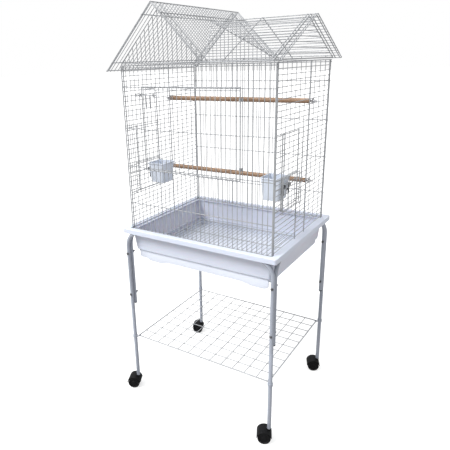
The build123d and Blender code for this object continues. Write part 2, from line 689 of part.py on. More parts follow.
caps = []
for sx, sy in CORNERS.values():
    at = (sx * LEG_X, sy * (HALF_D + SIDE_LEG_OUT))
    plug = rod((*at, SIDE_LEG_END + 12.0), (*at, SIDE_LEG_END - 0.2), TUBE_R - TUBE_WALL - 0.05)
    plug += rod((*at, SIDE_LEG_END - 0.2), (*at, SIDE_LEG_END - 4.2), TUBE_R + 0.3)
    caps.append(plug.solid())
save("tube_end_caps", *caps)


def lower_leg(x, y):
    """The lower length of a leg, with a reduced end that fits up the frame."""
    top = FRAME_LEG_END - 0.3
    body = rod((x, y, LOWER_LEG_END), (x, y, top), TUBE_R)
    body += rod((x, y, top), (x, y, top + SPIGOT_LEN), SPIGOT_R)
    body -= rod((x, y, LOWER_LEG_END), (x, y, top + SPIGOT_LEN), SPIGOT_R - TUBE_WALL)
    body -= rod((x, y, LOWER_LEG_END), (x, y, top - 12.0), TUBE_R - TUBE_WALL)
    return body.solid()


for word, (sx, sy) in CORNERS.items():
    save(f"lower_leg_{word}", lower_leg(sx * LEG_X, sy * LEG_Y))


def shelf_grid():
    """The wire shelf, its edge wire and a grid of bars both ways."""
    x1, y1 = LEG_X - TUBE_R - 3.0, LEG_Y - TUBE_R - 3.0
    wires = [rod((-x1, s * y1, SHELF_Z), (x1, s * y1, SHELF_Z), SHELF_EDGE_R) for s in (-1, 1)]
    wires += [rod((s * x1, -y1, SHELF_Z), (s * x1, y1, SHELF_Z), SHELF_EDGE_R) for s in (-1, 1)]
    for i in range(1, SHELF_CELLS_X):
        x = -x1 + i * 2 * x1 / SHELF_CELLS_X
        wires.append(rod((x, -y1, SHELF_Z + 1.0), (x, y1, SHELF_Z + 1.0), SHELF_BAR_R))
    for i in range(1, SHELF_CELLS_Y):
        y = -y1 + i * 2 * y1 / SHELF_CELLS_Y
        wires.append(rod((-x1, y, SHELF_Z - 1.2), (x1, y, SHELF_Z - 1.2), SHELF_BAR_R))
    return wires


def shelf_collar(x, y, sx, sy):
    """A collar gripped on a leg, with a hooked finger under the shelf's corner."""
    body = ring((x, y, SHELF_Z), (0, 0, 1), TUBE_R + 0.06, TUBE_R + 1.9, 10.0)
    low = SHELF_Z - SHELF_EDGE_R - 1.6
    root, tip = 5.1, 13.3
    body += rod((x - sx * root, y - sy * root, low), (x - sx * (tip + 1.0), y - sy * (tip + 1.0), low), 1.5)
    body += rod((x - sx * tip, y - sy * tip, low), (x - sx * tip, y - sy * tip, SHELF_Z + 3.0), 1.5)
    return body.solid()


save("shelf_grid", *shelf_grid())
save("shelf_collars", *[shelf_collar(sx * LEG_X, sy * LEG_Y, sx, sy) for sx, sy in CORNERS.values()])

# ---- casters ----
sockets, stems = [], []
for sx, sy in CORNERS.values():
    at = (sx * LEG_X, sy * LEG_Y)
    head = LOWER_LEG_END + BUSH_DEPTH
    bush = rod((*at, LOWER_LEG_END - 0.2), (*at, head), TUBE_R - TUBE_WALL - 0.05)
    bush += rod((*at, LOWER_LEG_END - BUSH_RIM), (*at, LOWER_LEG_END - 0.2), TUBE_R + 0.4)
    bush -= rod((*at, LOWER_LEG_END - BUSH_RIM), (*at, head), STEM_R + 0.05)
    sockets.append(bush.solid())
    stems.append(rod((*at, WHEEL_R + 6.0), (*at, head - 2.0), STEM_R))
save("caster_sockets", *sockets)
save("caster_stems", *stems)

TRAIL = (cos(CASTER_TURN), sin(CASTER_TURN))


def caster_frame(x, y):
    """The wheel centre's plane: its Z runs along the axle."""
    hub = (x + CASTER_TRAIL * TRAIL[0], y + CASTER_TRAIL * TRAIL[1], WHEEL_R)
    return Plane(hub, x_dir=(TRAIL[0], TRAIL[1], 0), z_dir=(TRAIL[1], -TRAIL[0], 0))


HOOD_HALF = WHEEL_IN + WHEEL_W + 0.6


def caster_hood(x, y):
    """A web between the wheels, a boss for the stem and a curved cover."""
    at = caster_frame(x, y)
    lift = 1 if at.y_dir.Z > 0 else -1
    cover = Cylinder(HOOD_OUT_R, 2 * HOOD_HALF) - Cylinder(HOOD_IN_R, 2 * HOOD_HALF)
    cover -= Pos(0, -lift * 27.0, 0) * Box(80.0, 60.0, 60.0)
    web = Cylinder(HOOD_IN_R + 0.5, 2 * (WHEEL_IN - 0.7)) - Pos(0, -lift * 28.0, 0) * Box(80.0, 46.0, 60.0)
    shape = at * (cover + web)
    boss = rod((x, y, WHEEL_R + 3.0), (x, y, HOOD_TOP), WHEEL_IN - 0.7)
    shape += boss
    shape -= rod((x, y, WHEEL_R + 5.0), (x, y, HOOD_TOP + 5.0), STEM_R + RUN_FIT)
    shape -= at * Cylinder(AXLE_R + RUN_FIT, 30.0)
    return shape.solid()


def caster_axle(x, y):
    """The steel pin through the web that both wheels are pressed on."""
    return caster_frame(x, y) * Cylinder(AXLE_R, 2 * (WHEEL_IN + WHEEL_W - AXLE_COVER - 0.2))


def caster_wheel(x, y, side):
    """One of the two wheels, with a rounded tread, a dished face and a closed hub."""
    s0, s1 = WHEEL_IN, WHEEL_IN + WHEEL_W
    dish, hub, blind = s1 - 2.5, s1 - 1.0, s1 - AXLE_COVER
    with BuildSketch(Plane.XZ) as half:
        with BuildLine():
            Polyline((AXLE_R, s0), (WHEEL_R - 2.0, s0))
            RadiusArc((WHEEL_R - 2.0, s0), (WHEEL_R, s0 + 2.0), -2.0)
            Line((WHEEL_R, s0 + 2.0), (WHEEL_R, s1 - 3.0))
            RadiusArc((WHEEL_R, s1 - 3.0), (WHEEL_R - 3.0, s1), -3.0)
            Polyline((WHEEL_R - 3.0, s1), (16.0, s1), (13.5, dish), (8.0, dish), (6.0, hub), (0, hub))
            Polyline((0, hub), (0, blind), (AXLE_R, blind), (AXLE_R, s0))
        make_face()
    body = revolve(half.sketch, Axis.Z)
    body = body if side > 0 else body.rotate(Axis.X, 180)
    return (caster_frame(x, y) * body).solid()


for word, (sx, sy) in CORNERS.items():
    at = (sx * LEG_X, sy * LEG_Y)
    save(f"caster_hood_{word}", caster_hood(*at))
    save(f"caster_axle_{word}", caster_axle(*at))
    save(f"caster_wheels_{word}", caster_wheel(*at, 1), caster_wheel(*at, -1))


# ---- perches, held by a bolt, a washer and a wing nut at each end ----
PERCH_END = HALF_W - POST_R - 0.4
WASHER_T = 1.6
OUT_FACE = HALF_W + POST_R + 2 * BAR_R + 0.4


def wing_nut(side, z):
    """A round nut with two wings, on the bolt outside the wall."""
    x0 = side * (OUT_FACE + WASHER_T + 0.3)
    body = rod((x0, PERCH_Y, z), (x0 + side * 6.0, PERCH_Y, z), 4.4)
    for turn in (-1, 1):
        wing = Pos(x0 + side * 5.5, PERCH_Y + turn * 8.0, z) * Box(8.0, 9.0, 2.2)
        body += wing
    body -= rod((x0 - side * 2, PERCH_Y, z), (x0 + side * 12.0, PERCH_Y, z), 2.55)
    return body.solid()


def perch_washer(x0, x1, z):
    """One plain washer."""
    disc = rod((x0, PERCH_Y, z), (x1, PERCH_Y, z), 9.5)
    return (disc - rod((x0, PERCH_Y, z), (x1, PERCH_Y, z), 2.9)).solid()


perch_bolts, washers, wings = [], [], []
for word, z in zip(("upper", "lower"), PERCH_LEVELS):
    dowel = rod((-PERCH_END, PERCH_Y, z), (PERCH_END, PERCH_Y, z), PERCH_R)
    dowel = chamfer(dowel.edges().filter_by(GeomType.CIRCLE), 0.8)
    for side in (-1, 1):
        tip = side * (PERCH_END - PERCH_BOLT_IN)
        far = side * (OUT_FACE + PERCH_BOLT_OUT)
        dowel -= rod((tip, PERCH_Y, z), (side * (PERCH_END + 1), PERCH_Y, z), PERCH_BOLT_R + 0.05)
        perch_bolts.append(rod((tip + side * 0.3, PERCH_Y, z), (far, PERCH_Y, z), PERCH_BOLT_R))
        washers.append(perch_washer(side * OUT_FACE, side * (OUT_FACE + WASHER_T), z))
        wings.append(wing_nut(side, z))
    save(f"perch_{word}", dowel.solid())
save("perch_bolts", *perch_bolts)
save("perch_washers", *washers)
save("perch_wing_nuts", *wings)


# ---- seed cups with their hooks ----
def seed_cup(side, y):
    """A tapered cup with a rolled rim, its long side along the wall."""
    x = side * (HALF_W - CUP_WALL_GAP - CUP_W / 2)
    top = CUP_FLOOR_Z + CUP_H
    half_x, half_y = CUP_W / 2, CUP_D / 2
    outer = block(half_x, half_y, CUP_FLOOR_Z, top, 9.0, half_x - CUP_TAPER, half_y - CUP_TAPER)
    in_x, in_y = half_x - CUP_T, half_y - CUP_T
    inner = block(in_x, in_y, CUP_FLOOR_Z + CUP_T, top, 7.0, in_x - CUP_TAPER + 0.2, in_y - CUP_TAPER + 0.2)
    lip = block(half_x + CUP_LIP, half_y + CUP_LIP, top - CUP_LIP_H, top, 10.0)
    lip -= block(half_x - 0.5, half_y - 0.5, top - CUP_LIP_H, top, 8.0)
    return (Pos(x, y, 0) * (outer - inner + lip)).solid()


def cup_hooks(side, y):
    """Two flat hooks on the cup's back, bent over the rail across the opening."""
    rail_x = HALF_W - (POST_R + RAIL_R - WELD)
    near = rail_x - RAIL_R - 0.25 - HOOK_T / 2
    far = rail_x + RAIL_R + 0.8 + HOOK_T / 2
    top = CUP_RAIL_Z + RAIL_R + 0.3 + HOOK_T
    hooks = []
    for hook_y in (y - HOOK_APART / 2, y + HOOK_APART / 2):
        leg = Box(HOOK_T, HOOK_W, top - HOOK_LOW)
        over = Box(far - near + HOOK_T, HOOK_W, HOOK_T)
        body = Pos(side * near, hook_y, (top + HOOK_LOW) / 2) * leg
        body += Pos(side * (near + far) / 2, hook_y, top - HOOK_T / 2) * over
        body += Pos(side * far, hook_y, top - HOOK_TIP / 2) * Box(HOOK_T, HOOK_W, HOOK_TIP)
        root, end = side * (near - 0.2), side * (near - HOOK_T / 2 - 4.6)
        body += rod((root, hook_y, HOOK_STUD_Z), (end, hook_y, HOOK_STUD_Z), 2.2)
        hooks.append(body.solid())
    return hooks


for word, side in (("left", -1), ("right", 1)):
    save(f"seed_cup_{word}", seed_cup(side, CUP_Y[word]))
    save(f"cup_hooks_{word}", *cup_hooks(side, CUP_Y[word]))
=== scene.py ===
"""Looks of a bird cage on its stand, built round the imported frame.

The cage is welded from straight wires, so each wire panel of the frame is read
back as a set of centre lines and drawn again as smooth, slightly uneven,
powder-coated wire with a weld bead at every crossing. The base, the cups and
the stand's tubes are profiles carried along paths. Lengths are in metres.
"""

import logging
from dataclasses import dataclass, field
from enum import Enum

import bpy
import numpy as np
from mathutils import Matrix, Vector


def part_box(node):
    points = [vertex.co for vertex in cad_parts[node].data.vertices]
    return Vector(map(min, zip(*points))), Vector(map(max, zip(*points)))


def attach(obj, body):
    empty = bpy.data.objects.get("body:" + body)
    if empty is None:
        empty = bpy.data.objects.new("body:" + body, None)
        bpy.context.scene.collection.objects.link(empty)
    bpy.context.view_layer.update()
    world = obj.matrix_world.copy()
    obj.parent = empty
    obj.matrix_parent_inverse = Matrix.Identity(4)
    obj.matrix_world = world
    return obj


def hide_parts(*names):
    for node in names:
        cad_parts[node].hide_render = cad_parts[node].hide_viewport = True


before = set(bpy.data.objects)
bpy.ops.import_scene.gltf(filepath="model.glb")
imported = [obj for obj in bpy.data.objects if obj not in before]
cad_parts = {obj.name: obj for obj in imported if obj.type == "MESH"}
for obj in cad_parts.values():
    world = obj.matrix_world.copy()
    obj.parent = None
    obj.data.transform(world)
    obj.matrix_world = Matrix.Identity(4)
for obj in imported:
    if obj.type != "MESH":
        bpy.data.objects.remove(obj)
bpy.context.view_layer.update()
LOG = logging.getLogger("bird_cage")

Array = np.ndarray
Pair = tuple[float, float]
Triple = tuple[float, float, float]
Socket = bpy.types.NodeSocket
Material = bpy.types.Material
UP = np.array([0.0, 0.0, 1.0])
WHITE = (1.0, 1.0, 1.0)


class Place(Enum):
    """A place on the cage, whose name is a word in the frame's node names."""

    @property
    def word(self) -> str:
        """The name as the frame's nodes spell it."""
        return self.name.lower()


class Corner(Place):
    """The stand's corners, each with the signs of its X and Y."""

    FRONT_LEFT = (-1, -1)
    FRONT_RIGHT = (1, -1)
    BACK_LEFT = (-1, 1)
    BACK_RIGHT = (1, 1)


class Side(Place):
    """Left and right, each with the sign of its X."""

    LEFT = -1
    RIGHT = 1


def node_box(node: str) -> tuple[Array, Array]:
    """Lowest and highest corner of a node of the frame."""
    low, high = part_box(node)
    return np.array(low), np.array(high)


def middle_of(node: str) -> Array:
    """The middle of a node's box."""
    return sum(node_box(node)) / 2


def placed(data: bpy.types.ID) -> bpy.types.Object:
    """A new object in the scene, at the origin, with the name of its data."""
    made = bpy.data.objects.new(data.name, data)
    bpy.context.scene.collection.objects.link(made)
    return made


def unit(v: Array) -> Array:
    """The same directions, each of length one, along the last axis."""
    return v / np.maximum(np.linalg.norm(v, axis=-1, keepdims=True), 1e-12)


# ---- skins


@dataclass
class Skin:
    """Grids of points gathered into one closed mesh, named for the frame's node that it stands for."""

    node: str
    form: str = "form"
    points: list[Array] = field(default_factory=list)
    faces: list[Array] = field(default_factory=list)
    marks: list[Array] = field(default_factory=list)
    count: int = 0
    crease: float = 0.8

    def grid(self, p: Array, close_u: bool = False, cap: bool = False, mark: Array | float = 0.0) -> None:
        """Adds a batch of tubes, each a surface of two parameters that closes on itself along v.

        A quad joins point (i, j) to its neighbours (i + 1, j) and (i, j + 1).
        All faces are turned if the volume that they enclose comes out negative.

        Args:
            p: points of shape (batch, u, v, 3), or (u, v, 3) for one tube.
            close_u: the last row of u joins the first.
            cap: the first and last row of u are closed with a fan to their mean.
            mark: one number per tube, or one for all.
        """
        p = p[None] if p.ndim == 3 else p
        b, nu, nv, _ = p.shape
        mark = np.broadcast_to(np.asarray(mark, float), (b,))
        u, v = np.meshgrid(np.arange(nu if close_u else nu - 1), np.arange(nv), indexing="ij")
        u1, v1 = (u + 1) % nu, (v + 1) % nv
        quad = np.stack([u * nv + v, u1 * nv + v, u1 * nv + v1, u * nv + v1], -1).reshape(-1, 4)
        start = np.arange(b)[:, None] * (nu * nv)
        faces = [(quad + start[..., None]).reshape(-1, 4)]
        points, marks = p.reshape(-1, 3), np.repeat(mark, nu * nv)
        if cap:
            middles = np.stack([p[:, 0].mean(1), p[:, -1].mean(1)], 1)
            first = b * nu * nv + 2 * np.arange(b)[:, None]
            ring, end = np.arange(nv), start + (nu - 1) * nv
            after = (ring + 1) % nv
            for fan in ((first, start + ring, start + after), (first + 1, end + after, end + ring)):
                faces.append(np.stack(np.broadcast_arrays(*fan), -1).reshape(-1, 3))
            points = np.concatenate([points, middles.reshape(-1, 3)])
            marks = np.concatenate([marks, np.repeat(mark, 2)])
        volume = sum(
            (points[f[:, 0]] * np.cross(points[f[:, k]], points[f[:, k + 1]])).sum()
            for f in faces for k in range(1, f.shape[1] - 1)
        )
        if volume < 0:
            faces = [f[:, ::-1] for f in faces]
        self.points.append(points)
        self.marks.append(marks)
        self.faces.extend(f + self.count for f in faces)
        self.count += len(points)

    def carry(self, route: Array, profile: Array, up: Array) -> None:
        """Adds a flat profile carried along a route, square to it at every point.

        Point (i, j) is route i, plus profile j's first number along the side
        direction and its second along the up direction.

        Args:
            route: points of shape (n, 3).
            profile: points of shape (m, 2).
            up: the direction that the profile's second axis keeps closest to.
        """
        along = unit(np.gradient(route, axis=0))
        side = unit(np.cross(along, up))
        top = np.cross(side, along)
        self.grid(route[:, None] + side[:, None] * profile[:, :1] + top[:, None] * profile[:, 1:], cap=True)

    def vessel(self, rows: list[tuple[Array, float, float, float]], centre: Pair = (0.0, 0.0), steps: int = 5,
               plan_steps: int = 6, loop: bool = False) -> None:
        """Adds a hollow form of level rounded rectangles, stacked along a section with bends.

        Args:
            rows: half sizes in plan, height, corner radius in plan, and the section's bend there.
            centre: the middle of every rectangle.
            steps: points on each bend.
            plan_steps: points on each corner in plan.
            loop: the section closes on itself; else it ends in two flat floors.
        """
        corners = np.array([(*half, z, corner) for half, z, corner, _ in rows])
        bends = [row[3] for row in rows]
        route = rounded_loop(corners, bends, steps) if loop else rounded_route(corners, bends[1:-1], steps)
        self.grid(rect_rings(route, centre, plan_steps), close_u=loop, cap=not loop)

    def lathe(self, foot: Array, axis: Array, stations: Array, sides: int = 28, loop: bool = False) -> None:
        """Adds a turned solid.

        A point is the foot, plus the station's first number along the axis,
        plus its second along a direction turned about the axis.

        Args:
            foot: where the stations' zero lies.
            axis: the axis of turning.
            stations: rows of place along the axis and radius.
            sides: points round the axis.
            loop: the stations close on themselves, as a ring's do.
        """
        axis = unit(np.asarray(axis, float))
        side = unit(np.cross(axis, [0.3, 0.5, 0.81]))
        top = np.cross(axis, side)
        turn = np.arange(sides) * 2 * np.pi / sides
        around = side * np.cos(turn)[:, None] + top * np.sin(turn)[:, None]
        stations = np.asarray(stations, float)
        along = np.asarray(foot, float) + axis * stations[:, :1]
        self.grid(along[:, None] + around[None] * stations[:, None, 1:], close_u=loop, cap=not loop)

    def plate(self, outline: Array, origin: Array, x_axis: Array, y_axis: Array, thick: float,
              bevel: float) -> None:
        """Adds a flat plate with rounded edges.

        The outline is repeated across the thickness, and near each face it is
        drawn in along a quarter turn.

        Args:
            outline: points of shape (n, 2), a form without deep hollows.
            origin: the place of the outline's zero, in the middle of the thickness.
            x_axis: the direction of the outline's first number.
            y_axis: the direction of its second.
            thick: the thickness.
            bevel: the radius of the edges.
        """
        x_axis, y_axis = np.asarray(x_axis, float), np.asarray(y_axis, float)
        normal = np.cross(x_axis, y_axis)
        turn = np.linspace(0, np.pi / 2, 4)
        rise, depth = thick / 2 - bevel + bevel * np.sin(turn), bevel * (1 - np.cos(turn))
        rise, depth = np.append(rise, rise[-1]), np.append(depth, bevel * 1.6)
        rings = []
        for at, drawn in zip(np.append(-rise[::-1], rise), np.append(depth[::-1], depth)):
            flat = inset(outline, drawn)
            rings.append(np.asarray(origin) + x_axis * flat[:, :1] + y_axis * flat[:, 1:] + normal * at)
        self.grid(np.stack(rings), cap=True)

    def slab(self, low: Triple, high: Triple, bevel: float = 0.0006) -> None:
        """Adds a box with rounded edges.

        Args:
            low: its lowest corner.
            high: its highest corner.
            bevel: the radius of its edges.
        """
        low, high = np.array(low), np.array(high)
        half, middle = (high - low) / 2, (high + low) / 2
        outline = half[:2] * np.array([(-1, -1), (1, -1), (1, 1), (-1, 1)])
        self.plate(outline, middle, (1, 0, 0), (0, 1, 0), 2 * half[2], bevel)

    def make(self, finish: Material, slot: str, body: str = "cage") -> None:
        """Puts the gathered skin into the scene as one piece.

        Args:
            finish: its material.
            slot: not used.
            body: the frame's body that it rides on.
        """
        points = np.concatenate(self.points)
        loops = np.concatenate([f.reshape(-1) for f in self.faces])
        sizes = np.concatenate([np.full(len(f), f.shape[1]) for f in self.faces])
        starts = np.concatenate([[0], np.cumsum(sizes)[:-1]])
        mesh = bpy.data.meshes.new(f"{self.node}_{self.form}")
        mesh.vertices.add(len(points))
        mesh.loops.add(len(loops))
        mesh.polygons.add(len(sizes))
        mesh.vertices.foreach_set("co", points.astype(np.float32).ravel())
        mesh.loops.foreach_set("vertex_index", loops.astype(np.int32))
        mesh.polygons.foreach_set("loop_start", starts.astype(np.int32))
        mesh.polygons.foreach_set("loop_total", sizes.astype(np.int32))
        mesh.update(calc_edges=True)
        mesh.validate()
        mark = mesh.attributes.new("mark", "FLOAT", "POINT")
        mark.data.foreach_set("value", np.concatenate(self.marks).astype(np.float32))
        mesh.shade_smooth()
        mesh.set_sharp_from_angle(angle=self.crease)
        mesh.materials.append(finish)
        piece = placed(mesh)
        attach(piece, body)
        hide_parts(self.node)
        LOG.info("%s: %d faces on %s", piece.name, len(sizes), body)


def rounded_route(corners: Array, bend: float | list[float], steps: int = 10) -> Array:
    """A route of straight runs joined by arcs.

    At each inner corner the arc touches both runs at bend / tan(half angle)
    from the corner, and its points are the corner's tangent point turned about
    the arc's centre. One more point on each run, just past the arc, keeps the
    shading of the straight runs flat.

    Args:
        corners: points of shape (n, d).
        bend: one radius, or one for each inner corner.
        steps: points on each arc.

    Returns:
        Points of shape (m, d).
    """
    corners = np.asarray(corners, float)
    bends = np.broadcast_to(np.asarray(bend, float), (len(corners) - 2,))
    out = [corners[:1]]
    for before, here, after, r in zip(corners, corners[1:], corners[2:], bends):
        a, b = unit(before - here), unit(after - here)
        half = np.arccos(np.clip(a @ b, -1, 1)) / 2
        if r == 0 or half > 1.56:
            out.append(here[None])
            continue
        centre = here + unit(a + b) * r / np.sin(half)
        p, q = here + a * r / np.tan(half), here + b * r / np.tan(half)
        x, turn = unit(p - centre), np.pi - 2 * half
        y = unit((q - centre) - x * ((q - centre) @ x))
        t = np.linspace(0, turn, steps)[:, None]
        guard = 0.25 * r
        out += [(p + a * guard)[None], centre + r * (x * np.cos(t) + y * np.sin(t)), (q + b * guard)[None]]
    out.append(corners[-1:])
    return np.concatenate(out)


def circle(radius: float, sides: int) -> Array:
    """Points of a circle, of shape (sides, 2), in the turning sense of a closed skin."""
    t = -np.arange(sides) * 2 * np.pi / sides
    return radius * np.stack([np.cos(t), np.sin(t)], -1)


def rect_rings(stations: Array, centre: Pair = (0.0, 0.0), steps: int = 6) -> Array:
    """Level rounded rectangles, one over another.

    A quarter turn about each corner's centre, which lies the corner radius
    inside both half sizes, gives the corner's points.

    Args:
        stations: rows of half size in X, half size in Y, height and corner radius.
        centre: the middle of every rectangle.
        steps: points on each corner.

    Returns:
        Points of shape (stations, 4 * steps, 3).
    """
    half_x, half_y, z, corner = (c[:, None] for c in np.asarray(stations, float).T)
    quarter = np.repeat(np.arange(4), steps)
    angle = quarter * np.pi / 2 + np.tile(np.linspace(0, np.pi / 2, steps), 4)
    sign_x, sign_y = np.array([1, -1, -1, 1])[quarter], np.array([1, 1, -1, -1])[quarter]
    x = centre[0] + sign_x * (half_x - corner) + corner * np.cos(angle)
    y = centre[1] + sign_y * (half_y - corner) + corner * np.sin(angle)
    return np.stack([x, y, z + np.zeros_like(x)], -1)


def round_box(half_w: float, half_h: float, corner: float) -> Array:
    """A flat rectangle with rounded corners, as points of shape (16, 2)."""
    return rect_rings([(half_w, half_h, 0.0, corner)], steps=4)[0, :, :2]


def washer_stations(low: float, high: float, bore: float, rim: float, bevel: float) -> Array:
    """Stations of a ring with a bevelled outer edge."""
    corners = [(low, bore), (low, rim), (high, rim), (high, bore)]
    return rounded_loop(np.array(corners), [bevel / 3, bevel, bevel, bevel / 3], 4)


def rounded_loop(corners: Array, bend: float | list[float], steps: int = 5) -> Array:
    """A closed route of straight runs joined by arcs, begun in the middle of its last run.

    Args:
        corners: points of shape (n, d).
        bend: one radius, or one for each corner.
        steps: points on each arc.

    Returns:
        Points of shape (m, d).
    """
    corners = np.asarray(corners, float)
    middle = (corners[:1] + corners[-1:]) / 2
    return rounded_route(np.concatenate([middle, corners, middle]), bend, steps)[:-1]


def inset(outline: Array, depth: float) -> Array:
    """A flat outline moved inwards, each corner along the sum of its two edges' normals.

    Args:
        outline: points of shape (n, 2).
        depth: how far each edge moves.

    Returns:
        The moved points.
    """
    edge = unit(np.roll(outline, -1, 0) - outline)
    area = (outline[:, 0] * np.roll(outline[:, 1], -1) - np.roll(outline[:, 0], -1) * outline[:, 1]).sum()
    normal = np.stack([-edge[:, 1], edge[:, 0]], -1) * np.sign(area)
    before = np.roll(normal, 1, 0)
    return outline + depth * (normal + before) / (1 + (normal * before).sum(1, keepdims=True))


# ---- wires


@dataclass
class WireSet:
    """Straight round wires: where each begins and ends, and its radius."""

    start: Array
    end: Array
    radius: Array

    @classmethod
    def of_node(cls, node: str) -> "WireSet":
        """Reads a node's wires back from its mesh.

        Points at one place are merged, triangles that share an edge share the
        lowest label among them, and each island of one label is a wire. A
        wire's ends are the means of the points on either half of its longest
        direction.

        Args:
            node: a node whose solids are all straight round wires.

        Returns:
            The wires.
        """
        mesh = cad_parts[node].data
        co = np.zeros(len(mesh.vertices) * 3)
        mesh.vertices.foreach_get("co", co)
        loops = np.zeros(len(mesh.loops), np.int32)
        mesh.loops.foreach_get("vertex_index", loops)
        spots, place = np.unique(np.round(co.reshape(-1, 3), 6), axis=0, return_inverse=True)
        tri = place.reshape(-1)[loops].reshape(-1, 3)
        edges = np.sort(np.stack([tri, np.roll(tri, -1, 1)], -1).reshape(-1, 2), 1)
        edge = np.unique(edges, axis=0, return_inverse=True)[1].reshape(-1, 3)
        label = np.arange(len(tri))
        while True:
            low = np.full(edge.max() + 1, len(tri))
            np.minimum.at(low, edge, label[:, None])
            new = np.minimum(label, low[edge].min(1))
            new = new[new]
            if np.array_equal(new, label):
                break
            label = new
        wires = []
        for value in np.unique(label):
            p = spots[np.unique(tri[label == value])]
            middle = p.mean(0)
            far = (p - middle) @ np.linalg.svd(p - middle, full_matrices=False)[2][0] > 0
            a, b = p[~far].mean(0), p[far].mean(0)
            axis, off = unit(b - a), p - a
            wires.append((a, b, np.linalg.norm(off - np.outer(off @ axis, axis), axis=1).max()))
        return cls(*(np.array(part) for part in zip(*wires)))

    def welds(self) -> tuple[Array, Array, Array, Array]:
        """Where two wires that aren't in line touch.

        For lines p + s a and q + t b, the nearest points solve the two
        equations that make the joining line square to both.

        Returns:
            The beads' centres, the two wires' directions and the smaller radius.
        """
        i, j = np.triu_indices(len(self.radius), 1)
        length, along = np.linalg.norm(self.end - self.start, axis=1), unit(self.end - self.start)
        a, b = along[i], along[j]
        gap = self.start[i] - self.start[j]
        dot = (a * b).sum(1)
        square = 1 - dot**2
        ok = square > 0.05
        square = np.where(ok, square, 1)
        s = (dot * (b * gap).sum(1) - (a * gap).sum(1)) / square
        t = ((b * gap).sum(1) - dot * (a * gap).sum(1)) / square
        s = np.clip(s, 0, length[i])
        t = np.clip(t, 0, length[j])
        p, q = self.start[i] + a * s[:, None], self.start[j] + b * t[:, None]
        near = np.linalg.norm(p - q, axis=1) < (self.radius[i] + self.radius[j]) * 1.02
        keep = ok & near
        share = (self.radius[i] / (self.radius[i] + self.radius[j]))[:, None]
        centre = p + (q - p) * share
        return centre[keep], a[keep], b[keep], np.minimum(self.radius[i], self.radius[j])[keep]


@dataclass
class WireWork:
    """Draws wires as closed tubes with rounded tips and weld beads."""

    sides: int = 10
    wander: float = 0.00022
    tip_stations: tuple[Pair, ...] = ((0.0, 0.5), (0.18, 0.8), (0.55, 1.0))
    stations: int = 5
    bead_share: Triple = (1.35, 1.35, 0.95)

    def tubes(self, skin: Skin, wires: WireSet) -> None:
        """Adds one tube per wire.

        A point is the wire's centre line at station u, plus a slow sideways
        bow of a sine of u, plus the radius along a direction turned by v. Near
        each tip the radius shrinks, as it does where a cropped end is painted.

        Args:
            skin: where the tubes go.
            wires: the wires.
        """
        length = np.linalg.norm(wires.end - wires.start, axis=1)
        along = unit(wires.end - wires.start)
        helper = np.where(np.abs(along[:, 2:]) < 0.9, [[0.0, 0, 1]], [[1.0, 0, 0]])
        side = unit(np.cross(helper, along))
        top = np.cross(along, side)
        tip, thin = np.array(self.tip_stations).T
        inner = np.linspace(0, 1, self.stations + 2)[1:-1]
        near = np.minimum(tip[None] * wires.radius[:, None], 0.3 * length[:, None])
        u = np.concatenate([near, inner[None] * length[:, None], length[:, None] - near[:, ::-1]], 1)
        r = np.concatenate([thin, np.ones(self.stations), thin[::-1]])[None] * wires.radius[:, None]
        order = np.arange(len(length))
        swing = self.wander * np.minimum(length / 0.25, 1.0) * (0.5 + 0.5 * np.sin(order * 2.4))
        bow = np.sin(np.pi * u / length[:, None]) * swing[:, None]
        lean = order * 2.399
        bend = side * np.cos(lean)[:, None] + top * np.sin(lean)[:, None]
        line = wires.start[:, None] + along[:, None] * u[..., None] + bend[:, None] * bow[..., None]
        v = np.arange(self.sides) * 2 * np.pi / self.sides
        ring = side[:, None] * np.cos(v)[None, :, None] + top[:, None] * np.sin(v)[None, :, None]
        skin.grid(line[:, :, None] + ring[:, None] * r[:, :, None, None], cap=True,
                  mark=0.5 + 0.5 * np.sin(order * 12.9))

    def beads(self, skin: Skin, wires: WireSet) -> None:
        """Adds a small flattened ball at each weld.

        A bead is an ellipsoid: its two long axes lie along the wires and its
        short one goes from the one wire to the other.

        Args:
            skin: where the beads go.
            wires: the wires.
        """
        centre, a, b, r = wires.welds()
        if not len(r):
            return
        up = unit(np.cross(a, b))
        across = np.cross(up, a)
        lat = np.linspace(-1, 1, 5)[1:-1] * np.pi / 2 * 1.15
        lon = np.arange(6) * np.pi / 3
        flat = np.cos(lat)[:, None]
        ball = np.stack([flat * np.cos(lon), flat * np.sin(lon), np.sin(lat)[:, None] + 0 * lon], -1)
        axes = np.stack([a, across, up], 1)[:, None]
        shape = (ball * self.bead_share @ axes) * r[:, None, None, None]
        skin.grid(centre[:, None, None] + shape, cap=True, mark=0.5)


# ---- finishes


def put(tree: bpy.types.NodeTree, kind: str, out: str | int, inputs: dict[str | int, object],
        **values: object) -> Socket:
    """Adds a node to a tree, sets it and gives one of its outputs.

    Args:
        tree: the node tree.
        kind: the shader node's type.
        out: the output that is wanted.
        inputs: a value or a socket for each input, or None to leave it be.
        values: the node's own properties.

    Returns:
        The output.
    """
    made = tree.nodes.new(f"ShaderNode{kind}")
    for key, value in values.items():
        setattr(made, key, value)
    for key, value in inputs.items():
        if isinstance(value, Socket):
            tree.links.new(value, made.inputs[key])
        elif value is not None:
            made.inputs[key].default_value = value
    return made.outputs[out]


def spanned(tree: bpy.types.NodeTree, value: Socket, low: float, high: float, start: float = 0.0,
            stop: float = 1.0) -> Socket:
    """A value carried from start and stop to low and high, kept inside them."""
    return put(tree, "MapRange", "Result", {
        "Value": value, "From Min": start, "From Max": stop, "To Min": low, "To Max": high})


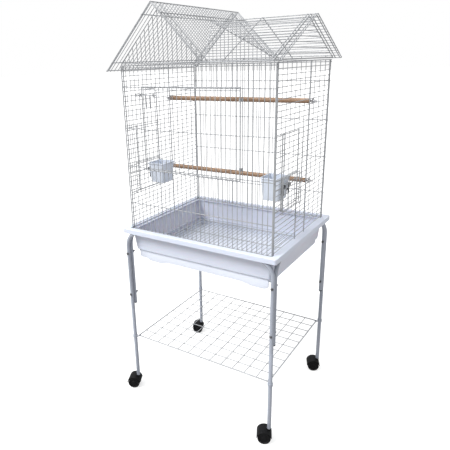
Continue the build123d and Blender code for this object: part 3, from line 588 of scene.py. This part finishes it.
class NodeBoard:
    """A material's node tree, with short calls for the nodes used here."""

    def __init__(self, name: str) -> None:
        """Starts a material with only its output and a principled shader.

        Args:
            name: the material's name.
        """
        self.material = bpy.data.materials.new(name)
        self.material.use_nodes = True
        self.tree = self.material.node_tree
        self.tree.nodes.clear()
        out = self.tree.nodes.new("ShaderNodeOutputMaterial")
        self.shader = self.tree.nodes.new("ShaderNodeBsdfPrincipled")
        self.tree.links.new(self.shader.outputs["BSDF"], out.inputs["Surface"])
        self.place = put(self.tree, "TexCoord", "Object", {})

    def stretched(self, scale: Triple) -> Socket:
        """Object coordinates, scaled along each axis."""
        return put(self.tree, "Mapping", "Vector", {"Vector": self.place, "Scale": scale})

    def noise(self, scale: float, detail: float = 3.0, rough: float = 0.55, vector: Socket | None = None,
              distortion: float = 0.0) -> Socket:
        """A noise pattern, returned as its factor."""
        return put(self.tree, "TexNoise", "Fac", {
            "Vector": vector or self.place, "Scale": scale, "Detail": detail, "Roughness": rough,
            "Distortion": distortion})

    def ramp(self, fac: Socket, *stops: tuple[float, Triple]) -> Socket:
        """A colour ramp.

        Args:
            fac: the pattern that is coloured.
            stops: each colour with its place.

        Returns:
            The colour.
        """
        color = put(self.tree, "ValToRGB", "Color", {"Fac": fac})
        elements = color.node.color_ramp.elements
        while len(elements) < len(stops):
            elements.new(0.5)
        for element, (at, shade) in zip(elements, stops):
            element.position, element.color = at, (*shade, 1.0)
        return color

    def span(self, value: Socket, *ends: float) -> Socket:
        """A value carried to a new span, as spanned does it."""
        return spanned(self.tree, value, *ends)

    def shaded(self, share: float, a: Socket, b: Socket) -> Socket:
        """A share of one colour multiplied by another."""
        return put(self.tree, "Mix", 2, {0: share, 6: a, 7: b}, data_type="RGBA",
                   blend_type="MULTIPLY")

    def bump(self, height: Socket, strength: float, distance: float, under: Socket | None = None) -> Socket:
        """A bump from a height, over another one if it is given."""
        return put(self.tree, "Bump", "Normal", {
            "Height": height, "Strength": strength, "Distance": distance, "Normal": under})

    def finish(self, color: Socket, rough: Socket, normal: Socket | None = None,
               **uniform: float | tuple) -> Material:
        """Joins the patterns to the shader.

        Args:
            color: the base colour.
            rough: the roughness.
            normal: the bump, if there is one.
            uniform: the shader's other inputs, by name, the same all over.

        Returns:
            The finished material.
        """
        for key, pattern in (("Base Color", color), ("Roughness", rough), ("Normal", normal)):
            if pattern:
                self.tree.links.new(pattern, self.shader.inputs[key])
        for key, value in uniform.items():
            self.shader.inputs[key.replace("_", " ").title().replace("Ior", "IOR")].default_value = value
        return self.material


@dataclass(frozen=True)
class PowderCoat:
    """White powder coat: a fine orange peel, with a little dust and shade variation."""

    name: str = "powder_coat"
    light: Triple = (0.39, 0.40, 0.415)
    dull: Triple = (0.32, 0.33, 0.345)
    peel: float = 900.0
    roughness: float = 0.38

    def build(self) -> Material:
        """The finished material."""
        b = NodeBoard(self.name)
        mark = put(b.tree, "Attribute", "Fac", {}, attribute_name="mark")
        tone = b.shaded(0.35, b.ramp(b.noise(9.0), (0.3, self.dull), (0.7, self.light)),
                     b.ramp(mark, (0.0, (0.86, 0.87, 0.88)), (1.0, WHITE)))
        grain = b.noise(self.peel, 2.0)
        rough = b.span(b.noise(60.0), self.roughness - 0.06, self.roughness + 0.1)
        return b.finish(tone, rough, b.bump(grain, 0.25, 0.00015), coat_weight=0.15, coat_roughness=0.25)


@dataclass(frozen=True)
class MouldedPlastic:
    """Injection-moulded plastic: faint flow marks, a fine spark texture and rubbed gloss."""

    name: str
    light: Triple
    dark: Triple
    roughness: float = 0.42
    spark: float = 1400.0
    bump: float = 0.18
    flow: Triple = (5.0, 5.0, 14.0)
    subsurface: float = 0.0
    specular: float = 0.5

    def build(self) -> Material:
        """The finished material."""
        b = NodeBoard(self.name)
        flow = b.noise(1.0, 4.0, 0.5, b.stretched(self.flow), 0.6)
        tone = b.ramp(flow, (0.25, self.dark), (0.75, self.light))
        rough = b.span(b.noise(22.0, 5.0), self.roughness - 0.07, self.roughness + 0.1, 0.3, 0.7)
        swell = b.bump(flow, 0.15, 0.001)
        normal = b.bump(b.noise(self.spark, 2.0), self.bump, 0.00012, swell)
        return b.finish(tone, rough, normal, subsurface_weight=self.subsurface,
                        specular_ior_level=self.specular)


@dataclass(frozen=True)
class TurnedWood:
    """A hardwood dowel with long grain, pores and a few darker growth bands."""

    name: str = "turned_wood"
    pale: Triple = (0.44, 0.29, 0.19)
    mid: Triple = (0.33, 0.20, 0.12)
    dark: Triple = (0.17, 0.095, 0.052)
    roughness: float = 0.55

    def build(self) -> Material:
        """The finished material."""
        b = NodeBoard(self.name)
        rings = b.noise(1.0, 4.0, 0.6, b.stretched((7.0, 150.0, 150.0)), 1.2)
        pores = b.noise(1.0, 3.0, 0.7, b.stretched((60.0, 1800.0, 1800.0)))
        tone = b.ramp(rings, (0.28, self.dark), (0.5, self.mid), (0.72, self.pale))
        tone = b.shaded(0.45, tone, b.ramp(pores, (0.35, (0.55, 0.5, 0.45)), (0.6, WHITE)))
        tone = b.shaded(0.4, tone, b.ramp(b.noise(18.0), (0.3, (0.72, 0.7, 0.68)), (0.7, WHITE)))
        rough = b.span(rings, self.roughness + 0.1, self.roughness - 0.08)
        return b.finish(tone, rough, b.bump(pores, 0.35, 0.0004, b.bump(rings, 0.2, 0.0005)))


@dataclass(frozen=True)
class PlatedSteel:
    """Steel with a thin plating: fine brushing, a cloudy tint and worn, duller patches."""

    name: str
    bright: Triple
    dull: Triple
    roughness: float = 0.32

    def build(self) -> Material:
        """The finished material."""
        b = NodeBoard(self.name)
        cloud = b.noise(140.0, 4.0, 0.6)
        brush = b.noise(1.0, 2.0, 0.5, b.stretched((3000.0, 3000.0, 300.0)))
        tone = b.ramp(cloud, (0.3, self.dull), (0.65, self.bright))
        rough = b.span(cloud, self.roughness + 0.14, self.roughness - 0.06)
        return b.finish(tone, rough, b.bump(brush, 0.12, 0.0001), metallic=1.0)


class Finishes:
    """Every finish of the cage, built once."""

    def __init__(self) -> None:
        """Builds the materials."""
        self.wire = PowderCoat().build()
        self.tube = PowderCoat("tube_coat", (0.36, 0.385, 0.445), (0.32, 0.345, 0.405), 700.0, 0.32).build()
        self.base = MouldedPlastic("base_plastic", (0.63, 0.66, 0.76), (0.59, 0.62, 0.72), 0.4,
                                   subsurface=0.05).build()
        self.tray = MouldedPlastic("tray_plastic", (0.70, 0.735, 0.82), (0.66, 0.695, 0.78), 0.42).build()
        self.cup = MouldedPlastic("cup_plastic", (0.72, 0.77, 0.86), (0.66, 0.71, 0.80), 0.3, 900.0,
                                  0.1).build()
        self.black = MouldedPlastic("black_plastic", (0.009, 0.009, 0.010), (0.005, 0.005, 0.0055), 0.5, 700.0,
                                    0.3, (20.0, 20.0, 20.0), specular=0.12).build()
        self.wheel = MouldedPlastic("wheel_plastic", (0.010, 0.010, 0.011), (0.005, 0.005, 0.0055), 0.55, 500.0,
                                    0.35, (40.0, 40.0, 40.0), specular=0.1).build()
        self.wood = TurnedWood().build()
        self.zinc = PlatedSteel("zinc_plate", (0.62, 0.62, 0.63), (0.42, 0.42, 0.44)).build()
        self.dark = PlatedSteel("dark_steel", (0.16, 0.16, 0.17), (0.08, 0.08, 0.085), 0.36).build()


# ---- sub-assemblies


@dataclass
class WirePanels:
    """All welded wire panels of the cage, each on its body."""

    finishes: Finishes
    work: WireWork = field(default_factory=WireWork)
    fixed: tuple[str, ...] = (
        "front_wall", "back_wall", "left_wall", "right_wall", "roof_main_left_slope",
        "roof_main_right_slope", "roof_cross_front_slope", "roof_cross_back_slope", "gable_end_front",
        "gable_end_back", "gable_end_right", "cup_door_guides_left", "cup_door_guides_right",
        "latch_keeper", "shelf_grid",
    )
    moving: tuple[tuple[str, str], ...] = (
        ("front_door", "door"), ("latch_guides", "door"), ("door_latch", "latch"),
        ("cup_door_left", "cup_door_l"), ("cup_door_right", "cup_door_r"), ("floor_grate", "drawer"),
    )

    def build(self) -> None:
        """Draws every panel and puts it on its body."""
        for node, body in (*((n, "cage") for n in self.fixed), *self.moving):
            wires = WireSet.of_node(node)
            skin = Skin(node, "wires")
            self.work.tubes(skin, wires)
            self.work.beads(skin, wires)
            skin.make(self.finishes.wire, "white_wire", body)


@dataclass
class Tub:
    """The plastic base: rim, recess, drafted shell, skirt and runner lips."""

    finishes: Finishes
    lip: Pair = (0.016, 0.002)
    flange: float = 0.003
    recess: Pair = (0.0201, 0.018)
    recess_drop: float = 0.006
    recess_wall: float = 0.0022
    ledge: Pair = (0.030, 0.032)
    shell_in: Pair = (0.0215, 0.0235)
    shell_drop: float = 0.079
    draft: float = 0.007
    wall: float = 0.003
    step: float = 0.006
    notch: float = 0.012
    set_in: float = 0.001
    runner: Pair = (0.012, 0.0025)

    def build(self) -> None:
        """Makes the tub as one piece."""
        low, high = node_box("base_tub")
        rim, top, bottom = high[:2], high[2], low[2]
        skin = Skin("base_tub", "shell")
        self.shell(skin, rim, top)
        skirt = rim - self.shell_in - self.draft - self.step
        self.skirt(skin, skirt, bottom, top - self.shell_drop + self.wall / 2)
        skin.make(self.finishes.base, "base_plastic")

    def shell(self, skin: Skin, rim: Array, top: float) -> None:
        """Adds the rim, the recess and the shell: one closed profile carried round the tub.

        Args:
            skin: where it goes.
            rim: the rim's half sizes.
            top: the rim's height.
        """
        lip_h, lip_t = self.lip
        recess, shell, ledge = rim - self.recess, rim - self.shell_in, rim - self.ledge
        foot, floor, flat = shell - self.draft, top - self.recess_drop, top - self.flange
        under, low, t = floor - self.flange, top - self.shell_drop, self.wall
        rib, opening = recess + self.recess_wall, foot - self.step - t
        sharp, soft, fillet, wide = 0.0006, 0.0009, 0.0012, 0.002
        rows = [
            (rim, top, 0.007, wide), (rim, top - lip_h, 0.007, soft), (rim - lip_t, top - lip_h, 0.005, soft),
            (rim - lip_t, flat, 0.005, sharp), (rib, flat, 0.007, sharp), (rib, under, 0.007, sharp),
            (shell, under, 0.009, sharp), (foot, low, 0.009, 0.0015), (opening, low, 0.006, sharp),
            (opening, low + t, 0.006, sharp), (foot - t, low + t, 0.006, fillet),
            (shell - t, under, 0.006, sharp), (ledge, under, 0.004, sharp), (ledge, floor, 0.004, sharp),
            (recess, floor, 0.005, fillet), (recess, top, 0.005, fillet),
        ]
        skin.vessel(rows, loop=True)

    def skirt(self, skin: Skin, half: Array, low: float, high: float) -> None:
        """Adds the side skirts with notched ends, their runner lips and the back skirt.

        Args:
            skin: where they go.
            half: the skirts' outer half sizes.
            low: their lower edge.
            high: their upper edge.
        """
        run, lip_w, lip_t = half[1] - self.set_in, *self.runner
        outline = np.array([
            (-run, high), (-run, low + self.notch), (-run + self.notch, low),
            (run - self.notch, low), (run, low + self.notch), (run, high),
        ])
        lip_run = run - self.notch - self.set_in
        for side in Side:
            s = side.value
            at = (s * (half[0] - self.wall / 2), 0, 0)
            skin.plate(outline, at, (0, 1, 0), (0, 0, 1), self.wall, 0.0007)
            near, far = sorted((s * (half[0] - self.wall - lip_w), s * (half[0] - self.set_in)))
            skin.slab((near, -lip_run, low), (far, lip_run, low + lip_t))
        reach = half[0] - self.set_in
        skin.slab((-reach, half[1] - self.wall, low), (reach, half[1], high))


@dataclass
class Drawer:
    """The pull-out tray with its front panel on two shallow feet."""

    finishes: Finishes
    floor_up: float = 0.0125
    wall: float = 0.0025
    corner: float = 0.003
    panel: float = 0.004
    edge: float = 0.0012
    rib: Pair = (0.0126, 0.0025)
    rib_up: float = 0.0226
    ramp: float = 0.038
    raised: float = 0.007
    left_foot: Pair = (-0.202, -0.155)
    right_foot: Pair = (0.186, 0.229)

    def build(self) -> None:
        """Makes the tray as one piece on the drawer's body."""
        low, high = node_box("drawer_tray")
        half_x = node_box("floor_grate")[1][0] + 0.0029
        front, back = low[1] + self.panel / 2, high[1]
        skin = Skin("drawer_tray")
        self.tray(skin, half_x, (front, back), low[2] + self.floor_up, high[2])
        rib_w, rib_t = self.rib
        for side in Side:
            near, far = sorted((side.value * (half_x - 0.001), side.value * (half_x + rib_w)))
            z = low[2] + self.rib_up
            skin.slab((near, front + 0.026, z), (far, back - 0.014, z + rib_t))
        self.front(skin, high[0], front, low[2], high[2])
        skin.make(self.finishes.tray, "base_plastic", "drawer")

    def tray(self, skin: Skin, half_x: float, span: Pair, low: float, high: float) -> None:
        """Adds the open tray: outer bottom, outer wall, edge, inner wall, inner floor.

        Args:
            skin: where it goes.
            half_x: its half width.
            span: its front and back.
            low: its underside.
            high: its edge.
        """
        half, t, c, floor = np.array([half_x, (span[1] - span[0]) / 2]), self.wall, self.corner, 0.02
        rows = [
            (half - floor, low, c, 0), (half, low, c, 0.0015), (half, high, c, 0.0008),
            (half - t, high, c, 0.0008), (half - t, low + t, c, 0.0012), (half - t - floor, low + t, c, 0),
        ]
        skin.vessel(rows, (0.0, (span[0] + span[1]) / 2))

    def front(self, skin: Skin, half: float, y: float, low: float, high: float) -> None:
        """Adds the front panel.

        At each place along X the section is a rounded bar in Y and Z. Its top
        is level, and its lower edge follows the feet and the ramps.

        Args:
            skin: where it goes.
            half: its half width.
            y: the middle of its thickness.
            low: the feet's underside.
            high: its top.
        """
        (a, b), (c, d) = self.left_foot, self.right_foot
        lifted = self.raised + 0.001
        knots = np.array([
            (-half, lifted + 0.004), (-half + 0.003, lifted), (a - 0.008, lifted), (a, 0.001), (b, 0.0),
            (b + self.ramp, self.raised), (c - self.ramp, self.raised), (c, 0.0), (d, 0.0),
            (half - 0.001, lifted), (half, lifted + 0.002),
        ])
        x = np.unique(np.concatenate([np.linspace(-half, half, 160), knots[:, 0]]))
        foot = low + np.interp(x, knots[:, 0], knots[:, 1])
        soft = np.convolve(np.pad(foot, 2, "edge"), np.ones(5) / 5, "valid")
        stations = [(self.panel / 2, h, at, self.edge) for h, at in zip((high - soft) / 2, x)]
        sections = rect_rings(stations, steps=4)
        across, rise, along = np.moveaxis(sections, 2, 0)
        skin.grid(np.stack([along, y + across, (soft + high)[:, None] / 2 + rise], -1), cap=True)


@dataclass
class Stand:
    """The bent tube frames, the lower legs, the collars, the caps and the leg fasteners."""

    finishes: Finishes
    tube: float = 0.00635
    bend: float = 0.055
    finger: float = 0.0015
    sides: int = 24

    def build(self) -> None:
        """Makes every tube and its small parts."""
        for word in ("front", "back", "left", "right"):
            self.frame(word)
        for corner in Corner:
            self.lower_leg(corner)
        self.collars()
        self.caps()
        self.fasteners()

    def frame(self, word: str) -> None:
        """One bent frame: a circle carried along two legs and the run between them.

        Args:
            word: the side of the stand that it is on.
        """
        node = f"stand_{word}_frame"
        low, high = node_box(node)
        across = 0 if word in ("front", "back") else 1
        reach, top = high[across] - self.tube, high[2] - self.tube
        corners = np.zeros((4, 3))
        corners[:, across] = (-reach, -reach, reach, reach)
        corners[:, 1 - across] = middle_of(node)[1 - across]
        corners[:, 2] = (low[2], top, top, low[2])
        route = rounded_route(corners, self.bend, 14)
        up = np.eye(3)[1 - across]
        skin = Skin(node, "tube")
        skin.carry(route, circle(self.tube, self.sides), up)
        skin.make(self.finishes.tube, "white_tube")

    def lower_leg(self, corner: Corner) -> None:
        """One straight lower leg, its ends a little rounded.

        Args:
            corner: where it stands.
        """
        node = f"lower_leg_{corner.word}"
        low, frame_low = node_box(node)[0], node_box("stand_front_frame")[0][2]
        x, y = middle_of(node)[:2]
        run, r = frame_low - 0.0003 - low[2], self.tube
        stations = [(0, r - 0.0008), (0.0003, r - 0.0003), (0.001, r), (run - 0.0008, r), (run, r - 0.0006)]
        skin = Skin(node, "tube")
        skin.lathe((x, y, low[2]), (0, 0, 1), stations, self.sides)
        skin.make(self.finishes.tube, "white_tube")

    def collars(self) -> None:
        """Four collars, each with a wire finger bent up inside the shelf's corner."""
        skin = Skin("shelf_collars")
        low, high = node_box("shelf_collars")
        middle = low[2] + 0.0053
        for corner in Corner:
            (x, y), (sx, sy) = middle_of(f"lower_leg_{corner.word}")[:2], corner.value
            ring = washer_stations(-0.005, 0.005, self.tube + 0.0001, self.tube + 0.0019, 0.0007)
            skin.lathe((x, y, middle), (0, 0, 1), ring, self.sides, loop=True)
            out = np.array([-sx, -sy, 0.0])
            start = np.array([x, y, low[2] + self.finger])
            root, tip = start + out * 0.0051, start + out * 0.0133
            route = [root, tip, tip + UP * (high[2] - low[2] - 0.0025)]
            curve = rounded_route(route, 2 * self.finger, 6)
            skin.carry(curve, circle(self.finger, 12), (sy, -sx, 0.0))
        skin.make(self.finishes.tube, "white_tube")

    def caps(self) -> None:
        """The black caps pushed on the short legs' lower ends."""
        skin = Skin("tube_end_caps")
        low, high = node_box("tube_end_caps")
        r = self.tube + 0.0003
        stations = [(0, r - 0.0024), (0.0003, r - 0.0013), (0.0011, r - 0.0004), (0.002, r), (0.0038, r),
                    (0.0043, r - 0.0004)]
        for sx, sy in (c.value for c in Corner):
            foot = (sx * (high[0] - r), sy * (high[1] - r), low[2])
            skin.lathe(foot, (0, 0, 1), stations, self.sides)
        skin.make(self.finishes.black, "black_plastic")

    def fasteners(self) -> None:
        """Domed bolts through the doubled legs, with hexagon nuts inside."""
        bolts, nuts = Skin("stand_bolts"), Skin("stand_nuts")
        low, high = node_box("stand_bolts")
        nut_high = node_box("stand_nuts")[1]
        head, shank, head_t = 0.0046, 0.0025, 0.0029
        dome = np.linspace(0, np.pi / 2, 5)[:-1]
        run = high[1] - nut_high[1] + 0.0085
        stations = [(0, shank - 0.0004), (0.0004, shank), (run - head_t, shank), (run - head_t, head)]
        edge = 0.0005
        stations += [(run - head_t + edge + np.sin(t) * (head_t - edge), head * np.cos(t) ** 0.6) for t in dome]
        for sx, sy in (c.value for c in Corner):
            for z in (low[2] + head, high[2] - head):
                x = sx * (high[0] - head)
                bolts.lathe((x, sy * (high[1] - run), z), (0, sy, 0), stations, 20)
                face = (x, sy * (nut_high[1] - 0.002), z)
                nuts.plate(circle(head, 6), face, (1, 0, 0), (0, 0, 1), 0.004, 0.0005)
        for skin in (bolts, nuts):
            skin.make(self.finishes.dark, "dark_steel")


@dataclass
class Casters:
    """Twin-wheel casters, all turned the same way."""

    finishes: Finishes
    turn: float = np.radians(205.0)
    web: float = 0.005
    wheel_in: float = 0.0057
    wheel_w: float = 0.016
    cover: Pair = (0.0222, 0.0242)
    boss_top: float = 0.0438

    def build(self) -> None:
        """Makes four hoods and four pairs of wheels, and the sockets."""
        trail = np.array([np.cos(self.turn), np.sin(self.turn), 0.0])
        axle = np.cross(trail, UP)
        sockets = Skin("caster_sockets")
        socket_low = node_box("caster_sockets")[0][2]
        for corner in Corner:
            low, high = node_box(f"caster_wheels_{corner.word}")
            hub, stem = (low + high) / 2, middle_of(f"lower_leg_{corner.word}")
            self.wheels(corner, hub, axle, (high[2] - low[2]) / 2)
            self.hood(corner, hub, stem, trail, axle)
            sockets.lathe((stem[0], stem[1], socket_low), (0, 0, 1),
                  washer_stations(0.0, 0.002, 0.0036, 0.00675, 0.0007), 28, loop=True)
        sockets.make(self.finishes.black, "black_plastic")

    def wheels(self, corner: Corner, hub: Array, axle: Array, radius: float) -> None:
        """A pair of wheels: flat inside, a rounded tread, a groove and a raised hub outside.

        Args:
            corner: the caster's corner.
            hub: the middle between the wheels.
            axle: the axle's direction.
            radius: the tread's radius.
        """
        near, far = self.wheel_in, self.wheel_in + self.wheel_w
        corners = np.array([
            (near, 0.001), (near, radius), (far, radius), (far, 0.0165), (far - 0.0026, 0.0145),
            (far - 0.0026, 0.0085), (far - 0.0008, 0.0065), (far - 0.0008, 0.001),
        ])
        stations = rounded_route(corners, [0.002, 0.003, 0.0006, 0.0008, 0.0008, 0.0008], 6)
        skin = Skin(f"caster_wheels_{corner.word}")
        for side in (-1, 1):
            skin.lathe(hub, axle * side, stations, 48)
        skin.make(self.finishes.wheel, "black_plastic", f"wheels_{corner.word}")

    def hood(self, corner: Corner, hub: Array, stem: Array, trail: Array, axle: Array) -> None:
        """The curved cover over both wheels, the web between them and the stem's boss.

        Args:
            corner: the caster's corner.
            hub: the middle between the wheels.
            stem: a place on the stem's axis.
            trail: the level direction that the caster trails in.
            axle: the axle's direction.
        """
        inner, outer = self.cover
        middle = (inner + outer) / 2
        half_w = self.wheel_in + self.wheel_w + 0.0006
        start = np.arcsin(0.003 / middle)
        angle = np.linspace(start, np.pi - start, 33)[:, None]
        route = hub + middle * (trail * np.cos(angle) + UP * np.sin(angle))
        skin = Skin(f"caster_hood_{corner.word}")
        profile = round_box((outer - inner) / 2, half_w, 0.001)
        skin.carry(route, profile, axle)
        low = np.arcsin(0.005 / middle)
        swing = np.linspace(-low, np.pi + low, 40)
        outline = np.stack([np.cos(swing), np.sin(swing)], -1) * (inner + 0.0003)
        skin.plate(outline, hub, trail, UP, 2 * self.web, 0.0008)
        top, r = self.boss_top - hub[2], self.web
        stations = [(0.003, r - 0.001), (0.004, r), (top - 0.0012, r), (top - 0.0004, r - 0.0004),
                    (top, r - 0.0012)]
        skin.lathe((stem[0], stem[1], hub[2]), UP, stations, 24)
        skin.make(self.finishes.black, "black_plastic", f"swivel_{corner.word}")


@dataclass
class Perches:
    """Two turned dowels with a bolt, a washer and a wing nut at each end."""

    finishes: Finishes
    bolt: float = 0.00245
    washer: Pair = (0.0095, 0.0016)
    hub: Pair = (0.0044, 0.006)
    wing: Pair = (0.004, 0.0045)

    def build(self) -> None:
        """Makes the dowels and their hardware."""
        small = [Skin(f"perch_{part}") for part in ("bolts", "washers", "wing_nuts")]
        bolt_end = node_box("perch_bolts")[1][0]
        face = node_box("perch_washers")[1][0] - self.washer[1]
        for word in ("upper", "lower"):
            node = f"perch_{word}"
            low, high = node_box(node)
            y, z = (low[1:] + high[1:]) / 2
            r, run = (high[2] - low[2]) / 2, high[0] - low[0]
            ends = [(0, r - 0.0012), (0.0003, r - 0.0008), (0.0011, r - 0.0001)]
            inner = np.linspace(0.02, run - 0.02, 40)
            body = [(s, r * (1 - 0.006 * np.sin(s * 61.0) ** 2)) for s in inner]
            stations = [*ends, *body, *((run - s, q) for s, q in ends[::-1])]
            skin = Skin(node, "dowel")
            skin.lathe((low[0], y, z), (1, 0, 0), stations, 32)
            skin.make(self.finishes.wood, "perch_wood")
            for side in Side:
                self.hardware(*small, side.value, (y, z), face, bolt_end)
        for skin in small:
            skin.make(self.finishes.zinc, "zinc_steel")

    def hardware(self, bolts: Skin, washers: Skin, wings: Skin, s: int, at: Pair, face: float,
                 bolt_end: float) -> None:
        """Adds one end's bolt, washer and wing nut.

        Args:
            bolts: where the bolt goes.
            washers: where the washer goes.
            wings: where the wing nut goes.
            s: the sign of the end's X.
            at: the perch's Y and Z.
            face: how far out the washer's inner face is.
            bolt_end: how far out the bolt ends.
        """
        y, z = at
        rim, thick = self.washer
        run, b, sunk = bolt_end - face + 0.008, self.bolt, face - 0.008
        bolts.lathe((s * sunk, y, z), (s, 0, 0),
              [(0, b - 0.0004), (0.0004, b), (run - 0.0008, b), (run, b - 0.0007)], 16)
        out = (s, 0, 0)
        washers.lathe((s * face, y, z), out, washer_stations(0, thick, 0.0029, rim, 0.0004), 32, loop=True)
        hub_r, hub_h = self.hub
        nut = s * (face + thick + 0.0003)
        bore = 0.00255
        corners = [(0, bore), (0, hub_r), (hub_h, hub_r - 0.0006), (hub_h, bore)]
        wings.lathe((nut, y, z), out, rounded_loop(corners, [0.0002, 0.0004, 0.0008, 0.0002]), 24, loop=True)
        for way in (-1, 1):
            ear = (nut + s * 0.0055, y + way * 0.008, z)
            wings.plate(circle(1.0, 24) * self.wing, ear, (1, 0, 0), (0, 1, 0), 0.0022, 0.0007)


@dataclass
class Cups:
    """The seed cups with their rolled rims, and the strip hooks that they hang on."""

    finishes: Finishes
    taper: float = 0.005
    wall: float = 0.002
    lip: Pair = (0.002, 0.004)
    strip: Pair = (0.0013, 0.007)
    stud_up: float = 0.012

    def build(self) -> None:
        """Makes both cups and their hooks."""
        for side in Side:
            body = f"cup_{side.word[0]}"
            self.cup(side, body)
            self.hooks(side, body)

    def cup(self, side: Side, body: str) -> None:
        """One cup: outer floor, tapered wall, rolled rim, inner wall and inner floor.

        Args:
            side: the side that it hangs on.
            body: the body that it rides on.
        """
        low, high = node_box(f"seed_cup_{side.word}")
        out, lip_h = self.lip
        half = (high - low)[:2] / 2 - out
        bottom, top, t, draw, floor = low[2], high[2], self.wall, self.taper, 0.012
        rows = [
            (half - draw - floor, bottom, 0.004, 0), (half - draw, bottom, 0.009, 0.003),
            (half - 0.0003, top - lip_h, 0.009, 0.0012), (half + out, top - lip_h, 0.011, 0.0018),
            (half + out, top, 0.011, 0.0019), (half - t, top, 0.007, 0.0018),
            (half - t - draw + 0.0002, bottom + t, 0.007, 0.0025),
            (half - t - draw - floor, bottom + t, 0.004, 0),
        ]
        skin = Skin(f"seed_cup_{side.word}")
        skin.vessel(rows, tuple((low + high)[:2] / 2), 7, 8)
        skin.make(self.finishes.cup, "cup_plastic", body)

    def hooks(self, side: Side, body: str) -> None:
        """Two strips bent over the rail, each with a stud that holds the cup.

        Args:
            side: the side that they hang on.
            body: the body that they ride on.
        """
        node = f"cup_hooks_{side.word}"
        low, high = node_box(node)
        thick, wide = self.strip
        s, half_t = side.value, thick / 2
        wall_side = max(abs(low[0]), abs(high[0])) - half_t
        cup_side = wall_side - 0.0049
        skin = Skin(node)
        profile = round_box(half_t, wide / 2, 0.0004)
        for y in (low[1] + wide / 2, high[1] - wide / 2):
            corners = np.array([
                (s * cup_side, y, low[2]), (s * cup_side, y, high[2] - half_t),
                (s * wall_side, y, high[2] - half_t), (s * wall_side, y, high[2] - 0.009),
            ])
            route = rounded_route(corners, 0.0012, 6)
            skin.carry(route, profile, (0.0, 1.0, 0.0))
            skin.lathe((s * cup_side, y, low[2] + self.stud_up), (-s, 0, 0),
                  [(0.0002, 0.0022), (0.0042, 0.0022), (0.005, 0.0016)], 16)
        skin.make(self.finishes.black, "black_plastic", body)


def dress(finish: Material, *nodes: str) -> None:
    """Gives nodes of the frame whose shape stays a finish.

    Args:
        finish: the material.
        nodes: the nodes' names.
    """
    for name in nodes:
        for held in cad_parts[name].material_slots:
            held.material = finish
        LOG.info("%s: dressed in %s", name, finish.name)


# ---- stage


@dataclass
class Studio:
    """The plain floor, the soft lights and the camera."""

    eye: Triple = (0.7642, -1.3517, 1.1586)
    yaw: float = -0.58916
    pitch: float = -0.33440
    roll: float = -0.03008
    lens: float = 38.21
    shift: float = 0.0667
    floor_half: float = 40.0
    floor_glow: float = 0.62
    sky_seen: float = 1.0
    sky_left: float = 0.32
    sky_right: float = 0.0
    sky_overhead: float = 1.6
    sun_from: Triple = (-0.5, -0.75, 0.95)
    sun_power: float = 3.0
    sun_spread: float = 0.4

    def build(self) -> None:
        """Makes the floor, the lights, the sky and the camera."""
        bpy.context.scene.view_settings.view_transform = "Standard"
        self.floor()
        self.lights()
        self.camera()

    def floor(self) -> None:
        """A wide pale sheet, level with the casters' lowest point."""
        s = self.floor_half
        mesh = bpy.data.meshes.new("studio_floor")
        mesh.from_pydata([(-s, -s, 0), (s, -s, 0), (s, s, 0), (-s, s, 0)], [], [(0, 1, 2, 3)])
        b = NodeBoard("studio_paper")
        tone = b.ramp(b.noise(0.8), (0.3, (0.44, 0.44, 0.44)), (0.7, (0.46, 0.46, 0.46)))
        mesh.materials.append(b.finish(tone, b.span(b.noise(30.0), 0.85, 0.95), emission_color=(*WHITE, 1.0)))
        seen = b.span(put(b.tree, "LightPath", "Is Camera Ray", {}), 0.0, self.floor_glow)
        b.tree.links.new(seen, b.shader.inputs["Emission Strength"])
        placed(mesh)

    def lights(self) -> None:
        """An even sky that looks brighter than it lights, and one wide, soft sun."""
        world = bpy.data.worlds.new("studio_sky")
        bpy.context.scene.world = world
        world.use_nodes = True
        tree = world.node_tree
        back = tree.nodes["Background"]
        ways = put(tree, "TexCoord", "Generated", {})
        parts = put(tree, "SeparateXYZ", "X", {"Vector": ways}).node.outputs
        both = put(tree, "Math", "Value", {
            0: spanned(tree, parts["X"], self.sky_left, self.sky_right, -0.8, 0.8),
            1: spanned(tree, parts["Z"], 0.0, self.sky_overhead, 0.1, 1.0)})
        seen = put(tree, "Mix", "Result", {
            "Factor": put(tree, "LightPath", "Is Camera Ray", {}), "A": both, "B": self.sky_seen})
        tree.links.new(seen, back.inputs["Strength"])
        back.inputs["Color"].default_value = (*WHITE, 1.0)
        light = bpy.data.lights.new("studio_sun", "SUN")
        light.energy, light.angle = self.sun_power, self.sun_spread
        placed(light).rotation_euler = Vector(self.sun_from).to_track_quat("Z", "Y").to_euler()

    def camera(self) -> None:
        """The camera, from its place, its two turns and its roll."""
        lens = bpy.data.cameras.new("studio_camera")
        lens.lens, lens.sensor_width, lens.shift_x = self.lens, 36.0, self.shift
        lens.clip_start, lens.clip_end = 0.05, 60.0
        eye = placed(lens)
        turns = ((-self.yaw, "Z"), (self.pitch + np.pi / 2, "X"), (self.roll, "Z"))
        eye.matrix_world = Matrix.Translation(self.eye)
        for angle, axis in turns:
            eye.matrix_world @= Matrix.Rotation(angle, 4, axis)
        bpy.context.scene.camera = eye


def main() -> None:
    """Builds the stage and every sub-assembly, in order."""
    logging.basicConfig(level=logging.INFO, format="%(name)s %(message)s")
    Studio().build()
    finishes = Finishes()
    for part in (WirePanels, Tub, Drawer, Stand, Casters, Perches, Cups):
        part(finishes).build()
    dress(finishes.wire, "door_hinge_clips")
    dress(finishes.zinc, "caster_stems", *(f"caster_axle_{c.word}" for c in Corner))


if __name__ == "__main__":
    main()
